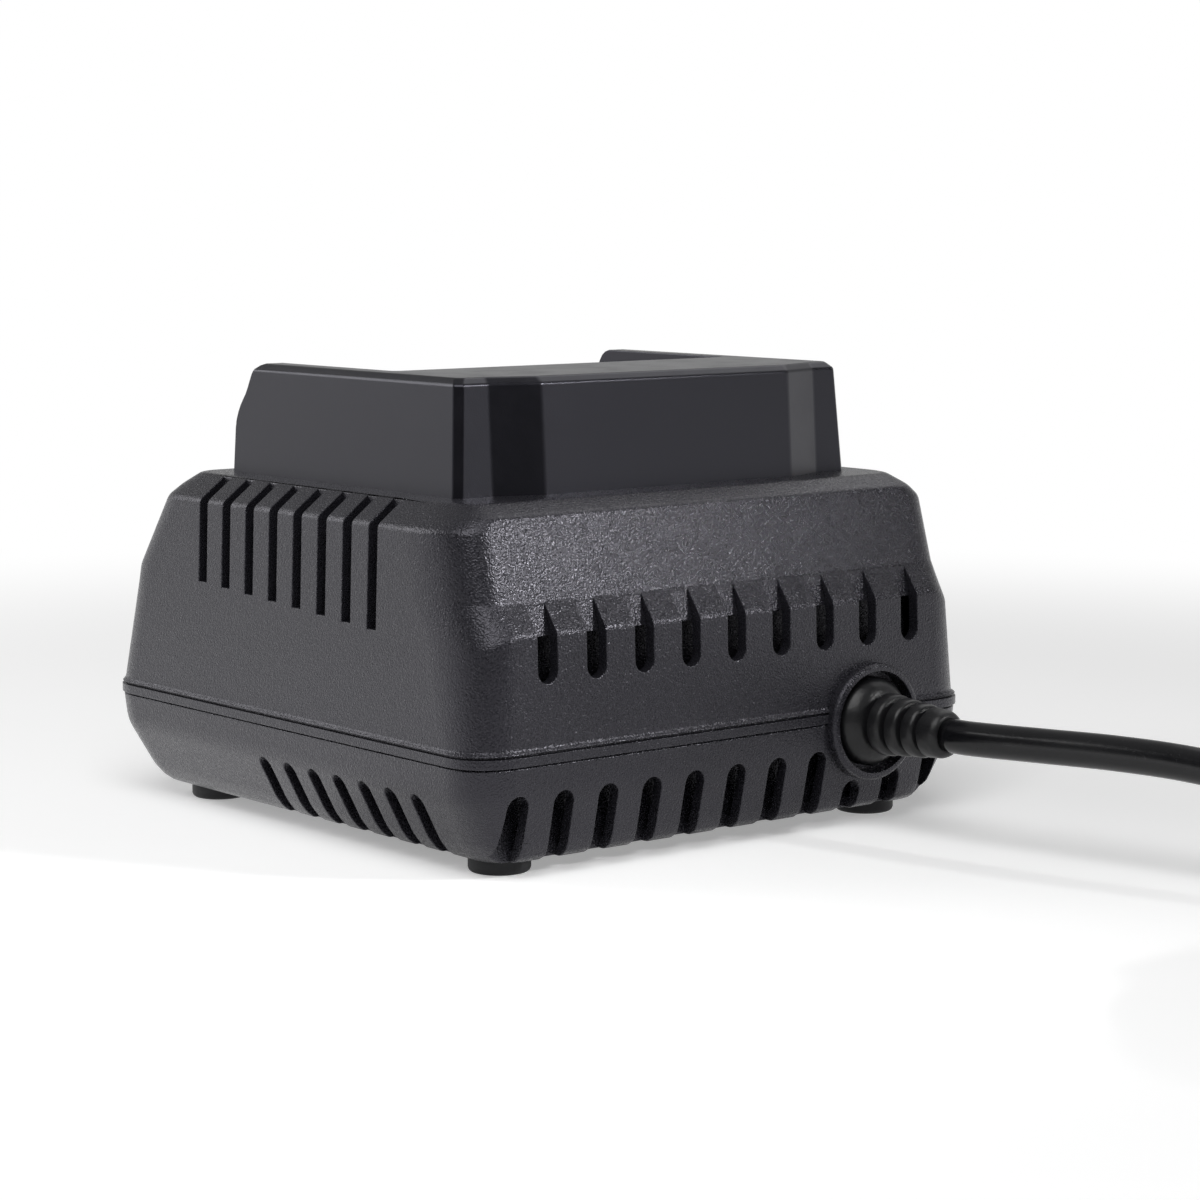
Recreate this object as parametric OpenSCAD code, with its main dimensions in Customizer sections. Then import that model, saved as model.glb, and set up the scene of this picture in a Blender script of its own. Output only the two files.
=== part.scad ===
// Mains battery charger for slide-on power tool batteries.
// Z is up, the feet stand on z = 0. The battery slides in from the front (-Y),
// the mains cord leaves at the rear (+Y). Millimetres.

/* [Housing] */
// Width across the belt
body_w = 139; // [134:1:150]
// Depth across the belt
body_d = 141; // [136:1:152]
// Radius of the upright corners, seen from above
corner_r = 11; // [9:0.5:13]
// Height of the deck that carries the dock
deck_z = 75.6; // [72:0.2:82]
// Height of the parting line
part_z = 24.1; // [22:0.1:26]
// Thickness of the moulded walls
wall = 2.5; // [2:0.1:2.8]
// Height of the belt above the parting line
belt_h = 2.9; // [2:0.1:4]
// How far the belt stands proud of the wall
belt_out = 0.7; // [0.4:0.1:1]
// Height of the underside above the table
base_z = 3.5; // [3:0.1:4.5]
// Draft of the upper side walls, inward per side
side_draft = 1.5; // [1:0.1:2]
// Lean of the lower front wall up to its break line
front_draft = 6.5; // [5:0.1:8]
// Lean of the front face above its break line
front_lean = 11.5; // [9:0.1:13]
// Width of the bevel beside the deck
bevel_w = 6.8; // [5:0.1:7.5]
// Height of the bevel beside the deck
bevel_h = 5.1; // [4:0.1:6]
// Height of the vent ledge's outer edge
ledge_z = 51; // [49:0.1:52.5]
// Rise of the vent ledge
ledge_rise = 5.3; // [4.5:0.1:6]
// Depth of the vent ledge
ledge_run = 4.4; // [3.8:0.1:5]
// Lean of the face above the vent ledge
slope_run = 4.4; // [3:0.1:5.5]

/* [Vents] */
// Slots in the vent ledge
ledge_slots = 9; // [5:1:9]
// Pitch of the slots in the vent ledge
ledge_pitch = 12.6; // [11:0.1:13]
// Width of the slots in the vent ledge
ledge_slot_w = 5.2; // [4:0.1:6]
// Height where the slots in the vent ledge end
ledge_slot_z = 40.2; // [39.5:0.1:44]
// Slots in each upper side wall
side_slots = 8; // [4:1:8]
// Pitch of the slots in the upper side walls
side_pitch = 9.2; // [8:0.1:9.6]
// Width of the slots in the upper side walls
side_slot_w = 3; // [2.4:0.1:3.6]
// Slots in the rear of the lower housing
low_rear_slots = 11; // [7:1:11]
// Pitch of those slots
low_rear_pitch = 11.6; // [10:0.1:11.8]
// Slots in each side of the lower housing
low_side_slots = 7; // [3:1:7]
// Pitch of those slots
low_side_pitch = 9.3; // [8:0.1:9.6]
// Width of the slots in the lower housing
low_slot_w = 5; // [4:0.1:5.6]
// Height where the slots in the lower housing end
low_slot_z = 18.2; // [16:0.1:20]
// Thickness of the baffles behind the slots
baffle_t = 1.5; // [1.2:0.1:2]

/* [Dock] */
// Height of the dock's walls above the deck
dock_h = 24.4; // [20:0.2:30]
// Width across the dock's walls at the deck
dock_w = 109; // [104:1:112]
// Front end of the dock's side walls, before the middle of the charger
dock_front = 39; // [36:0.5:40]
// Rear panel of the dock, behind the middle of the charger
dock_rear = 48.4; // [46:0.2:50]
// How far the rear panel stands proud of its pilasters
panel_out = 3.8; // [3:0.1:5]
// Half width of the rear panel
panel_half = 34.3; // [30:0.1:36]
// Half width of the recess that the panel stands in
recess_half = 45.3; // [42:0.1:47]
// Width of the bay between the dock's side walls
bay_w = 93; // [88:1:95]
// Rear wall of the bay, behind the middle of the charger
bay_rear = 12; // [8:0.5:16]
// Draft of the dock's walls, inward per side
dock_draft = 1.6; // [1:0.1:2]
// Bevel along the dock's upper edge
dock_bevel = 1.4; // [1:0.1:2]
// Thickness of the dock's shell
dock_wall = 2.2; // [1.8:0.1:2.6]
// Reach of the guide rails into the bay
rail_w = 4; // [3:0.1:5]
// Thickness of the guide rails
rail_t = 2.6; // [2:0.1:3.4]

/* [Contacts] */
// Contact blades
blades = 4; // [3:1:5]
// Pitch of the contact blades
blade_pitch = 10.5; // [9:0.1:11]
// Thickness of a contact blade
blade_t = 0.8; // [0.6:0.1:1.2]
// Height of a contact blade
blade_h = 9; // [7:0.1:10]
// Reach of a contact blade before the bay's rear wall
blade_l = 14; // [10:0.1:16]

/* [Cord] */
// Diameter of the mains cord
cord_d = 7.4; // [6:0.1:8]
// Gland, left of the middle seen from the front
gland_x = 38.3; // [36:0.1:42]
// Height of the gland's axis
gland_z = 23.5; // [23:0.1:24]
// Outer radius of the boss round the gland
boss_r = 13.4; // [12.6:0.1:14]
// Radius of the recess in the boss
recess_r = 10.9; // [10.4:0.1:11.4]
// Radius of the boot's flange
flange_r = 9.7; // [9:0.1:10]
// Reach of the boot behind the belt
boot_l = 23.5; // [22:0.1:26]
// Turns of the coil side by side
coil_cols = 3; // [2:1:4]
// Layers of the coil
coil_layers = 2; // [1:1:2]
// Middle diameter of the coil
coil_d = 84; // [76:1:90]

/* [Feet] */
// Diameter of a rubber foot
foot_d = 13; // [10:0.5:14]
// Feet, left and right of the middle
foot_x = 51.5; // [46:0.5:52]
// Rear feet, behind the middle
foot_rear = 54.5; // [50:0.5:56]
// Front feet, before the middle
foot_front = 51; // [48:0.5:54]

/* [Electronics] */
// Width of the main board
board_w = 96; // [90:1:98]
// Gap before and behind the main board
board_gap = 3.5; // [2:0.1:5]
// Thickness of the boards
board_t = 1.6; // [1.2:0.1:2]
// Height of the main board's underside
board_z = 13; // [11:0.5:14]
// Diameter of the bulk capacitor
bulk_d = 25; // [20:1:26]
// Height of the bulk capacitor
bulk_h = 36; // [30:1:40]
// Side of the cooling fan's square frame
fan_size = 40; // [36:1:40]
// Depth of the cooling fan
fan_depth = 10; // [9:0.5:11]
// Blades of the cooling fan
fan_blades = 7; // [5:1:9]
// Diameter of a status light
light_d = 5; // [4:0.5:6]

/* [Hidden] */
$fn = 48;

eps = 0.01;
clear = 0.2;
half_w = body_w / 2;
half_d = body_d / 2;
wall_x = half_w - belt_out;
wall_y = half_d - belt_out;
seam = 0.3;
low_x = half_w - seam;
low_y = half_d - seam;
corner_steps = 10;

// levels of the upper housing
ledge_top = ledge_z + ledge_rise;
front_break = ledge_z + 0.55 * ledge_rise;
bevel_z = deck_z - bevel_h;
rear_z = deck_z - bevel_h / 2;
rear_bevel = bevel_w * 0.72;
belt_top = part_z + belt_h;
belt_edge = 0.4;
rear_wall_y = wall_y - 0.6;
slope_y = rear_wall_y - ledge_run;
slope_top_y = slope_y - slope_run;
front_y = wall_y - front_draft;
front_top = front_y - front_lean;
side_x = wall_x - side_draft;
deck_x = side_x - bevel_w;
deck_rear = slope_top_y - rear_bevel;
deck_front = front_top - rear_bevel;

// ring: [height, half width, front, rear, corner radius]
upper_rings = [
    [part_z, half_w, -half_d, half_d, corner_r],
    [belt_top - belt_edge, half_w, -half_d, half_d, corner_r],
    [belt_top, wall_x, -wall_y, wall_y, corner_r - belt_out],
    [ledge_z - 1, along(side_draft, ledge_z, wall_x), -(front_y + 1), rear_wall_y, corner_r - belt_out],
    [ledge_z + 0.2, along(side_draft, ledge_z, wall_x), -(front_y + 0.6), rear_wall_y - 0.7,
        corner_r - belt_out],
    [front_break, along(side_draft, front_break, wall_x), -front_y, rear_wall_y - 0.5 * ledge_run,
        corner_r],
    [ledge_top, along(side_draft, ledge_top, wall_x), -lean(ledge_top), slope_y, corner_r + 1],
    [bevel_z, side_x, -lean(bevel_z), slope_at(bevel_z), corner_r + 2],
    [rear_z, side_x - bevel_w / 2, -(front_top - 1.4), slope_top_y, corner_r + 1],
    [deck_z, deck_x, -deck_front, deck_rear, corner_r - 2]
];
function along(draft, z, x) = x - draft * (z - belt_top) / (bevel_z - belt_top);
function lean(z) = front_y - front_lean * (z - front_break) / (bevel_z - front_break);
function slope_at(z) = slope_y - slope_run * (z - ledge_top) / (rear_z - ledge_top);

// the same rings one wall thickness further in, up to the underside of the deck
deck_under = deck_z - wall;
upper_inner = [
    [part_z - 1, half_w - wall - belt_out, -(half_d - wall - belt_out), half_d - wall - belt_out,
        corner_r - wall],
    [ledge_z - 2, along(side_draft, ledge_z, wall_x) - wall, -(front_y - wall), rear_wall_y - wall,
        corner_r - wall - 1],
    [ledge_top - 1.6, along(side_draft, ledge_top, wall_x) - wall, -(lean(ledge_top) - wall * 1.2),
        slope_y - wall - 0.3,
        corner_r - wall],
    [bevel_z - 1.6, side_x - wall, -(lean(bevel_z) - wall * 1.4), slope_at(bevel_z) - wall - 0.2,
        corner_r - wall],
    [deck_under, deck_x - 0.3, -(deck_front + 1.4), deck_rear - 0.5, corner_r - 3]
];

// levels of the lower housing
low_break = part_z - 6.6;
low_lean_x = 7;
low_lean_y = 4;
toe_h = 3.5;
toe = 2.6;
low_rings = [
    [base_z, low_x - low_lean_x - toe, -(low_y - low_lean_y - toe), low_y - low_lean_y - toe + 1,
        corner_r - 3],
    [base_z + 1.2, low_x - low_lean_x - 0.9, -(low_y - low_lean_y - 0.9), low_y - low_lean_y + 0.4,
        corner_r - 1.5],
    [base_z + toe_h, low_x - low_lean_x + 1, -(low_y - low_lean_y + 0.4), low_y - low_lean_y + 1.3,
        corner_r - 1],
    [low_break, low_x - 0.6, -(low_y - 0.5), low_y - 0.4, corner_r],
    [part_z, low_x, -low_y, low_y, corner_r]
];
low_inner = [
    [base_z + wall, low_x - low_lean_x - toe - 0.3, -(low_y - low_lean_y - toe),
        low_y - low_lean_y - toe + 0.8, corner_r - 4],
    [low_break, low_x - 0.6 - wall, -(low_y - 0.5 - wall), low_y - 0.4 - wall, corner_r - wall],
    [part_z + 5, low_x - wall, -(low_y - wall), low_y - wall, corner_r - wall]
];
floor_z = base_z + wall;

// the lip of the lower housing stands inside the upper one
lip_h = 2;
lip_t = 1.1;
lip_x = low_x - wall + lip_t;
lip_y = low_y - wall + lip_t;

// baffles behind the slots
ledge_baffle_y = slope_y + 0.2;
ledge_baffle_z = ledge_slot_z - 2.4;
skirt_x = low_x - low_lean_x - toe - 0.8;
skirt_y = low_y - low_lean_y - toe - 0.6;
skirt_top = low_slot_z + 1.2;

// slots
side_slot_z = deck_z - 24.8;
side_slot_fall = 0.058;
low_side_y = 20;
low_side_slot_w = low_slot_w * 0.8;
boss_gap = 1.4;
rib_t = 1.5;

// screw posts between the housings
post_x = board_w / 2 + 5.4;
post_y = 27.5;
post_r = 3.8;
housing_screw_r = 1.75;
housing_screw_l = 28;
screw_seat_z = part_z - 10;
head_r = 3.2;
head_h = 2.4;

// the dock
dock_top = deck_z + dock_h;
dock_half = dock_w / 2;
corner_cut = 1.5;
pilaster_y = dock_rear - panel_out;
bay_half = bay_w / 2;
tray_t = 2;
wall_end = 12;
dock_screw_r = 1.5;
dock_screw_x = (dock_half + bay_half) / 2 - 0.6;
dock_screw_front = dock_front - 5.5;
dock_screw_rear = (bay_rear + pilaster_y) / 2 + 2;
rear_post_x = 36;
rail_z = dock_top - 7;

// the contacts
block_t = 3;
block_half = blades / 2 * blade_pitch + 2;
block_h = blade_h + 7;
blade_z = deck_z + tray_t + 3.4;
blade_tail = 12;
fin_t = 2.4;
lead_y = bay_rear + blade_tail - 2;
window_half = block_half - 2;
window_y = bay_rear + dock_wall + 1.5;
window_d = 16;

// the gland and its boot
boss_out = 1.8;
recess_floor = wall_y - 1.2;
neck_r = 5.6;
inner_flange_r = neck_r + 1.6;
boot_y = half_d + boot_l;
collar_l = 9;
collar_r = 5.9;
bell_l = 6;
flange_t = 2.6;

// the cord's route from the boot to the coil
cord_z = cord_d / 2;
route = [[-38.3, boot_y, gland_z], [-38.4, 99, gland_z], [-40, 108, 23.7], [-42.2, 119, 24],
    [-45, 134, 24.4],
    [-48, 150, 24.2], [-50.8, 166, 22.8], [-53.3, 181, 19.6], [-55.2, 195, 15.2], [-56.5, 208, 10.6],
    [-57.2, 221, 6.7], [-57.4, 233, 4.4], [-57.4, 246, cord_z]];
coil_x = -8;
coil_y = 268;
coil_in = coil_d / 2 - coil_cols * cord_d / 2;
coil_out = coil_d / 2 + coil_cols * cord_d / 2;
coil_h = coil_layers * cord_d;
// the tail lies on the coil and ends in the plug
tail_z = coil_h + cord_z;
tail_route = [[9, 314.4, tail_z], [20.3, 308.5, tail_z], [29.8, 299.8, tail_z], [36.8, 289, tail_z],
    [39.5, 278.8, tail_z],
    [38.6, 268.4, tail_z], [34.2, 259, tail_z], [26.8, 251.6, tail_z], [17.6, 247, tail_z],
        [10, 246, tail_z]];
plug_face = [10, 246, coil_h];
plug_turn = 90;
plug_w = 35;
plug_t = 17;
plug_l = 36;
plug_neck = 14;
pin_r = 2.4;
pin_l = 19;
pin_pitch = 19;
tube_sides = 10;

// the inner end of the cord and its clamp
inner_y = slope_y - 10;
clamp_y = inner_y - 6;
clamp_w = 6;
clamp_t = 3;
clamp_screw_x = 9.5;
clamp_screw_l = 9;
lead_drop = 16;
clamp_post_r = 3.2;
saddle_z = gland_z - cord_d / 2;

// electronics
board_front = skirt_y - baffle_t - board_gap;
board_rear = clamp_y - clamp_post_r - board_gap;
board_top = board_z + board_t;
stand_x = board_w / 2 - 6;
stand_front = board_front - 6;
stand_rear = board_rear - 5;
stand_r = 3.2;
small_screw_r = 1.4;
fan_x = deck_x - 1 - fan_depth / 2;
fan_y = 1;
fan_z = deck_under - 0.2 - fan_size / 2;
fan_bore = fan_size / 2 - 1.5;
hub_r = 9;
shaft_r = 1;
bearing_r = 2.6;
strut_w = 2.4;
strut_t = 1.4;
light_x = 9;
light_z = (front_break + bevel_z) / 2;
lean_angle = atan2(front_lean, bevel_z - front_break);
light_l = 9;
light_y = -lean(light_z);
led_h = 3.4;
light_board_h = 12;
core_size = [42, 34, 34];
core_t = 17;
leg_t = 6;
core_lift = 3;
coil_r = core_size[0] / 2 - leg_t - 1;
coil_gap = 6;
bobbin_w = 26;
bobbin_t = 3;
bobbin_h = 12;
bobbin_y = 11;
dock_screw_l = 12;
board_screw_l = 6.5;
small_head_r = 2.7;
small_head_h = 1.8;
core_at = [4, -8];
bulk_at = [-31, board_rear - 25];
output_cap_at = [[8, 15 - board_front], [24, 15 - board_front]];
output_cap_d = 12.5;
output_cap_h = 25;
choke_at = [34, board_rear - 30];
choke_hole = 6;
choke_ring = 6;
choke_h = 12;
wire_r = 0.8;
xcap_at = [26, board_rear - 6.5];
xcap_size = [22, 10, 16];
fuse_at = [-25, board_rear - 4];
fuse_l = 20;
fuse_r = 2.5;
fuse_z = 4;
clip_l = 4;
clip_h = 6;
chip_at = [[-24, 8 - board_front], [-8, 6 - board_front]];
chip_size = [10, 6.5, 3];
sink_h = 34;
sink_t = 2;
fin_l = 4;
fin_gap = 5;
primary_l = 36.4;
secondary_l = 31.4;
primary_at = [-43.5, -20];
secondary_at = [41, -24];
tab_t = 1.3;
package = [4.6, 10.2, 15.5];

// ---------------------------------------------------------------- helpers

// points of a rounded rectangle, from the ring's values
function corner(cx, cy, r, a0, z) =
    [for (i = [0 : corner_steps]) let (a = a0 + 90 * i / corner_steps) [cx + r * cos(a), cy + r * sin(a),
        z]];
function ring_points(q) = concat(
    corner(q[1] - q[4], q[3] - q[4], q[4], 0, q[0]),
    corner(-q[1] + q[4], q[3] - q[4], q[4], 90, q[0]),
    corner(-q[1] + q[4], q[2] + q[4], q[4], 180, q[0]),
    corner(q[1] - q[4], q[2] + q[4], q[4], 270, q[0]));

// a solid through rings that all have the same number of points
module skin(rings) {
    n = len(rings[0]);
    last = len(rings) - 1;
    sides = [for (k = [0 : last - 1]) for (i = [0 : n - 1]) let (j = (i + 1) % n)
        each [[k * n + i, (k + 1) * n + i, k * n + j], [k * n + j, (k + 1) * n + i, (k + 1) * n + j]]];
    bottom = [[for (i = [0 : n - 1]) i]];
    top = [[for (i = [n - 1 : -1 : 0]) last * n + i]];
    polyhedron(points = [for (q = rings) each q], faces = concat(bottom, sides, top));
}

module loft(rings) {
    skin([for (q = rings) ring_points(q)]);
}

// a tube along a route of points
function unit(v) = v / norm(v);
function cat_rom(p0, p1, p2, p3, t) = 0.5 * ((2 * p1) + (p2 - p0) * t +
    (2 * p0 - 5 * p1 + 4 * p2 - p3) * t * t
    + (3 * p1 - p0 - 3 * p2 + p3) * t * t * t);
module tube(path, d, sides) {
    last = len(path) - 1;
    rings = [for (i = [0 : last])
        let (dir = unit(path[min(i + 1, last)] - path[max(i - 1, 0)]))
        let (side = unit(cross(dir, [0, 0, 1])))
        let (up = cross(side, dir))
        [for (k = [0 : sides - 1]) let (a = -360 * (k + 0.5) / sides)
            path[i] + d / 2 * (cos(a) * side + sin(a) * up)]];
    skin(rings);
}

module mirror_x() {
    children();
    mirror([1, 0, 0]) children();
}

module along_y(y, r, h) {
    translate([0, y, 0]) rotate([-90, 0, 0]) cylinder(r = r, h = h);
}

module along_x(x, r, h) {
    translate([x, 0, 0]) rotate([0, 90, 0]) cylinder(r = r, h = h);
}

// a slot with a round end below or above, open at the other end, cut along Y
module slot_y(x, w, z_end, z_open, y0, y1) {
    dir = z_open > z_end ? 1 : -1;
    z_round = z_end + dir * w / 2;
    translate([x - w / 2, y0, min(z_round, z_open)]) cube([w, y1 - y0, abs(z_open - z_round)]);
    translate([x, 0, z_round]) along_y(y0, w / 2, y1 - y0);
}

module slot_x(y, w, z_end, z_open, x0, x1) {
    dir = z_open > z_end ? 1 : -1;
    z_round = z_end + dir * w / 2;
    translate([x0, y - w / 2, min(z_round, z_open)]) cube([x1 - x0, w, abs(z_open - z_round)]);
    translate([0, y, z_round]) along_x(x0, w / 2, x1 - x0);
}

module screw(r, l, hr, hh) {
    cylinder(r = r, h = l);
    translate([0, 0, -hh]) difference() {
        cylinder(r = hr, h = hh);
        translate([0, 0, -eps]) cylinder(r = hr * 0.45, h = hh * 0.6, $fn = 6);
    }
}

// ---------------------------------------------------------------- housings

// the half of the round boss that is moulded on one housing
module gland_boss(z0, z1) {
    intersection() {
        translate([-gland_x, 0, gland_z]) along_y(wall_y - wall, boss_r, wall + belt_out + boss_out);
        translate([-gland_x - boss_r - 1, 0, z0]) cube([2 * boss_r + 2, body_d, z1 - z0]);
    }
}

module gland_hole() {
    translate([-gland_x, 0, gland_z]) {
        along_y(recess_floor, recess_r, half_d);
        along_y(inner_y, neck_r + clear, half_d);
        along_y(inner_y, inner_flange_r + 2 * clear, wall_y - wall - inner_y);
    }
}

module ledge_slot_cuts() {
    for (i = [0 : ledge_slots - 1]) {
        x = (i - (ledge_slots - 1) / 2) * ledge_pitch;
        slot_y(x, ledge_slot_w, ledge_slot_z, ledge_top + 3, ledge_baffle_y, half_d + 3);
    }
}

module side_slot_cuts() {
    for (i = [0 : side_slots - 1]) {
        y = fan_y + (i - (side_slots - 1) / 2) * side_pitch;
        z = side_slot_z - side_slot_fall * y;
        translate([deck_x + clear, y - side_slot_w / 2, z]) cube([half_w, side_slot_w, deck_z]);
    }
}

// slots that meet the gland's boss end below it
function low_slot_top(x) = abs(x + gland_x) < boss_r + boss_gap
    ? gland_z - sqrt(pow(boss_r + low_slot_w / 2 + boss_gap, 2) - pow(min(abs(x + gland_x), boss_r),
        2)) : low_slot_z;

module low_rear_cuts() {
    for (i = [0 : low_rear_slots - 1]) {
        x = (i - (low_rear_slots - 1) / 2) * low_rear_pitch;
        slot_y(x, low_slot_w, low_slot_top(x), base_z - 5, skirt_y, half_d + 3);
    }
}

module low_side_cuts() {
    for (i = [0 : low_side_slots - 1]) {
        y = low_side_y + (i - (low_side_slots - 1) / 2) * low_side_pitch;
        slot_x(y, low_side_slot_w, low_slot_z - 1.5, base_z - 5, skirt_x, half_w + 3);
    }
}

// ribs under the deck that hold the fan
module fan_ribs() {
    for (side = [-1, 1])
        translate([fan_x - fan_depth / 2, fan_y + side * (fan_size / 2 + clear + rib_t / 2) - rib_t / 2,
            fan_z - fan_size / 4])
            cube([fan_depth, rib_t, deck_under + 0.5 - fan_z + fan_size / 4]);
}

// the middle of the front face, Z along its normal
module lean_frame() {
    translate([0, light_y, light_z]) rotate([90 - lean_angle, 0, 0]) children();
}

module indicator_ribs() {
    lean_frame() mirror_x() translate([light_x + 5, -light_board_h / 2, -light_l - led_h])
        cube([2, light_board_h, light_l + 1.6]);
}

module upper_housing() color([0.22, 0.22, 0.24]) {
    difference() {
        union() {
            difference() {
                loft(upper_rings);
                loft(upper_inner);
            }
            gland_boss(part_z, gland_z + boss_r + 1);
            intersection() {
                loft(upper_rings);
                union() {
                    translate([-side_x + wall, ledge_baffle_y - baffle_t, ledge_baffle_z])
                        cube([2 * (side_x - wall), baffle_t, ledge_top - ledge_baffle_z]);
                    fan_ribs();
                    indicator_ribs();
                    mirror_x() for (y = [-post_y, post_y])
                        translate([post_x, y, part_z]) cylinder(r = post_r, h = deck_z - 1 - part_z);
                }
            }
        }
        ledge_slot_cuts();
        mirror_x() side_slot_cuts();
        gland_hole();
        // rebate for the lip of the lower housing
        translate([0, 0, part_z - 1]) linear_extrude(lip_h + clear + 1) difference() {
            square([2 * lip_x + 2 * clear, 2 * lip_y + 2 * clear], center = true);
            square([2 * lip_x - 8, 2 * lip_y - 8], center = true);
        }
        // pilot holes of the housing screws
        mirror_x() for (y = [-post_y, post_y])
            translate([post_x, y, part_z - 1]) cylinder(r = housing_screw_r, h = housing_screw_l);
        // holes of the dock's screws and the window for the output leads
        dock_screw_places() translate([0, 0, -wall - 1]) cylinder(r = dock_screw_r + clear, h = wall + 2);
        translate([-window_half, window_y, deck_z - wall - 1]) cube([2 * window_half, window_d, wall + 2]);
        lean_frame() mirror_x() translate([light_x, 0, -light_l - 2])
            cylinder(r = light_d / 2, h = light_l + 6);
    }
}

module lower_housing() color([0.22, 0.22, 0.24]) difference() {
    union() {
        difference() {
            loft(low_rings);
            loft(low_inner);
        }
        gland_boss(0, part_z);
        // lip that the upper housing closes over
        translate([0, 0, part_z - 3]) linear_extrude(3 + lip_h) lip_outline();
        // skirt behind the slots
        translate([0, 0, base_z + eps]) linear_extrude(skirt_top - base_z) difference() {
            square([2 * skirt_x, 2 * skirt_y], center = true);
            square([2 * (skirt_x - baffle_t), 2 * (skirt_y - baffle_t)], center = true);
        }
        mirror_x() for (y = [-post_y, post_y])
            translate([post_x, y, base_z + 1]) cylinder(r = post_r, h = part_z - base_z - 1);
        mirror_x() for (y = [-stand_front, stand_rear])
            translate([stand_x, y, base_z + 1]) cylinder(r = stand_r, h = board_z - base_z - 1);
        cord_saddle();
    }
    low_rear_cuts();
    mirror_x() low_side_cuts();
    gland_hole();
    mirror_x() for (y = [-post_y, post_y]) translate([post_x, y, 0]) {
        cylinder(r = housing_screw_r + clear, h = part_z + 1);
        translate([0, 0, -1]) cylinder(r = head_r + clear, h = screw_seat_z + 1);
    }
    mirror_x() for (y = [-stand_front, stand_rear])
        translate([stand_x, y, floor_z + 1]) cylinder(r = small_screw_r, h = board_z);
    mirror_x() for (y = [-foot_front, foot_rear])
        translate([foot_x, y, base_z - 1]) cylinder(r = foot_d / 2 + clear / 2, h = 2);
    for (side = [-1, 1])
        translate([-gland_x + side * clamp_screw_x, clamp_y, saddle_z + cord_d + clamp_t - clamp_screw_l])
            cylinder(r = small_screw_r, h = 20);
}

module lip_outline() {
    difference() {
        rounded(lip_x, lip_y, corner_r - wall + lip_t);
        rounded(lip_x - lip_t, lip_y - lip_t, corner_r - wall);
        translate([-gland_x, lip_y]) square([2 * boss_r, 20], center = true);
    }
}

module rounded(x, y, r) {
    square([2 * (x - r), 2 * y], center = true);
    square([2 * x, 2 * (y - r)], center = true);
    for (sx = [-1, 1]) for (sy = [-1, 1]) translate([sx * (x - r), sy * (y - r)]) circle(r = r);
}

module cord_saddle() {
    for (side = [-1, 1])
        translate([-gland_x + side * clamp_screw_x, clamp_y, base_z + 1])
            cylinder(r = clamp_post_r, h = saddle_z + cord_d - base_z - 1);
    translate([-gland_x - clamp_screw_x, clamp_y - 1, base_z + 1])
        cube([2 * clamp_screw_x, 2, saddle_z - base_z - 1]);
}

module rubber_feet() color([0.12, 0.12, 0.13]) mirror_x() for (y = [-foot_front, foot_rear])
    translate([foot_x, y, 0]) rotate_extrude()
        polygon([[0, 0], [foot_d / 2 - 0.8, 0], [foot_d / 2, 0.8], [foot_d / 2, base_z + 1],
            [0, base_z + 1]]);

module housing_screws() color([0.7, 0.7, 0.72]) mirror_x() for (y = [-post_y, post_y])
    translate([post_x, y, screw_seat_z]) screw(housing_screw_r, housing_screw_l, head_r, head_h);

// ---------------------------------------------------------------- dock

// one level of the dock's outer wall
function dock_ring(z, inset) =
    let (x = dock_half - inset, yr = dock_rear - inset, yp = pilaster_y - inset)
    [[-x, -dock_front, z], [x, -dock_front, z], [x, yp - corner_cut, z], [x - corner_cut, yp, z],
        [recess_half, yp, z],
        [panel_half, yr, z], [-panel_half, yr, z], [-recess_half, yp, z], [-x + corner_cut, yp, z],
            [-x, yp - corner_cut, z]];

module dock_block(inset, z0, z1, bevel) {
    lean = dock_draft * (z1 - bevel - z0) / dock_h;
    skin([dock_ring(z0, inset), dock_ring(z1 - bevel, inset + lean),
        dock_ring(z1, inset + lean + max(bevel, eps))]);
}

module dock_screw_places() {
    mirror_x() {
        translate([dock_screw_x, -dock_screw_front, deck_z]) children();
        translate([rear_post_x, dock_screw_rear, deck_z]) children();
    }
}

// the front ends of the walls: upright, then rounded back towards the top
module wall_end_cut() {
    knee = dock_h * 0.42;
    rotate([90, 0, 90]) translate([0, 0, -dock_w]) linear_extrude(2 * dock_w)
        polygon([[-dock_front - 2, deck_z + knee], [-dock_front, deck_z + knee],
            [-dock_front + 1.3, deck_z + knee * 1.4],
            [-dock_front + 3.4, deck_z + 0.71 * dock_h], [-dock_front + 5.8, dock_top - 1.8],
                [-dock_front + 9, dock_top + eps],
            [-dock_front + 9, dock_top + 3], [-dock_front - 2, dock_top + 3]]);
}

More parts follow.
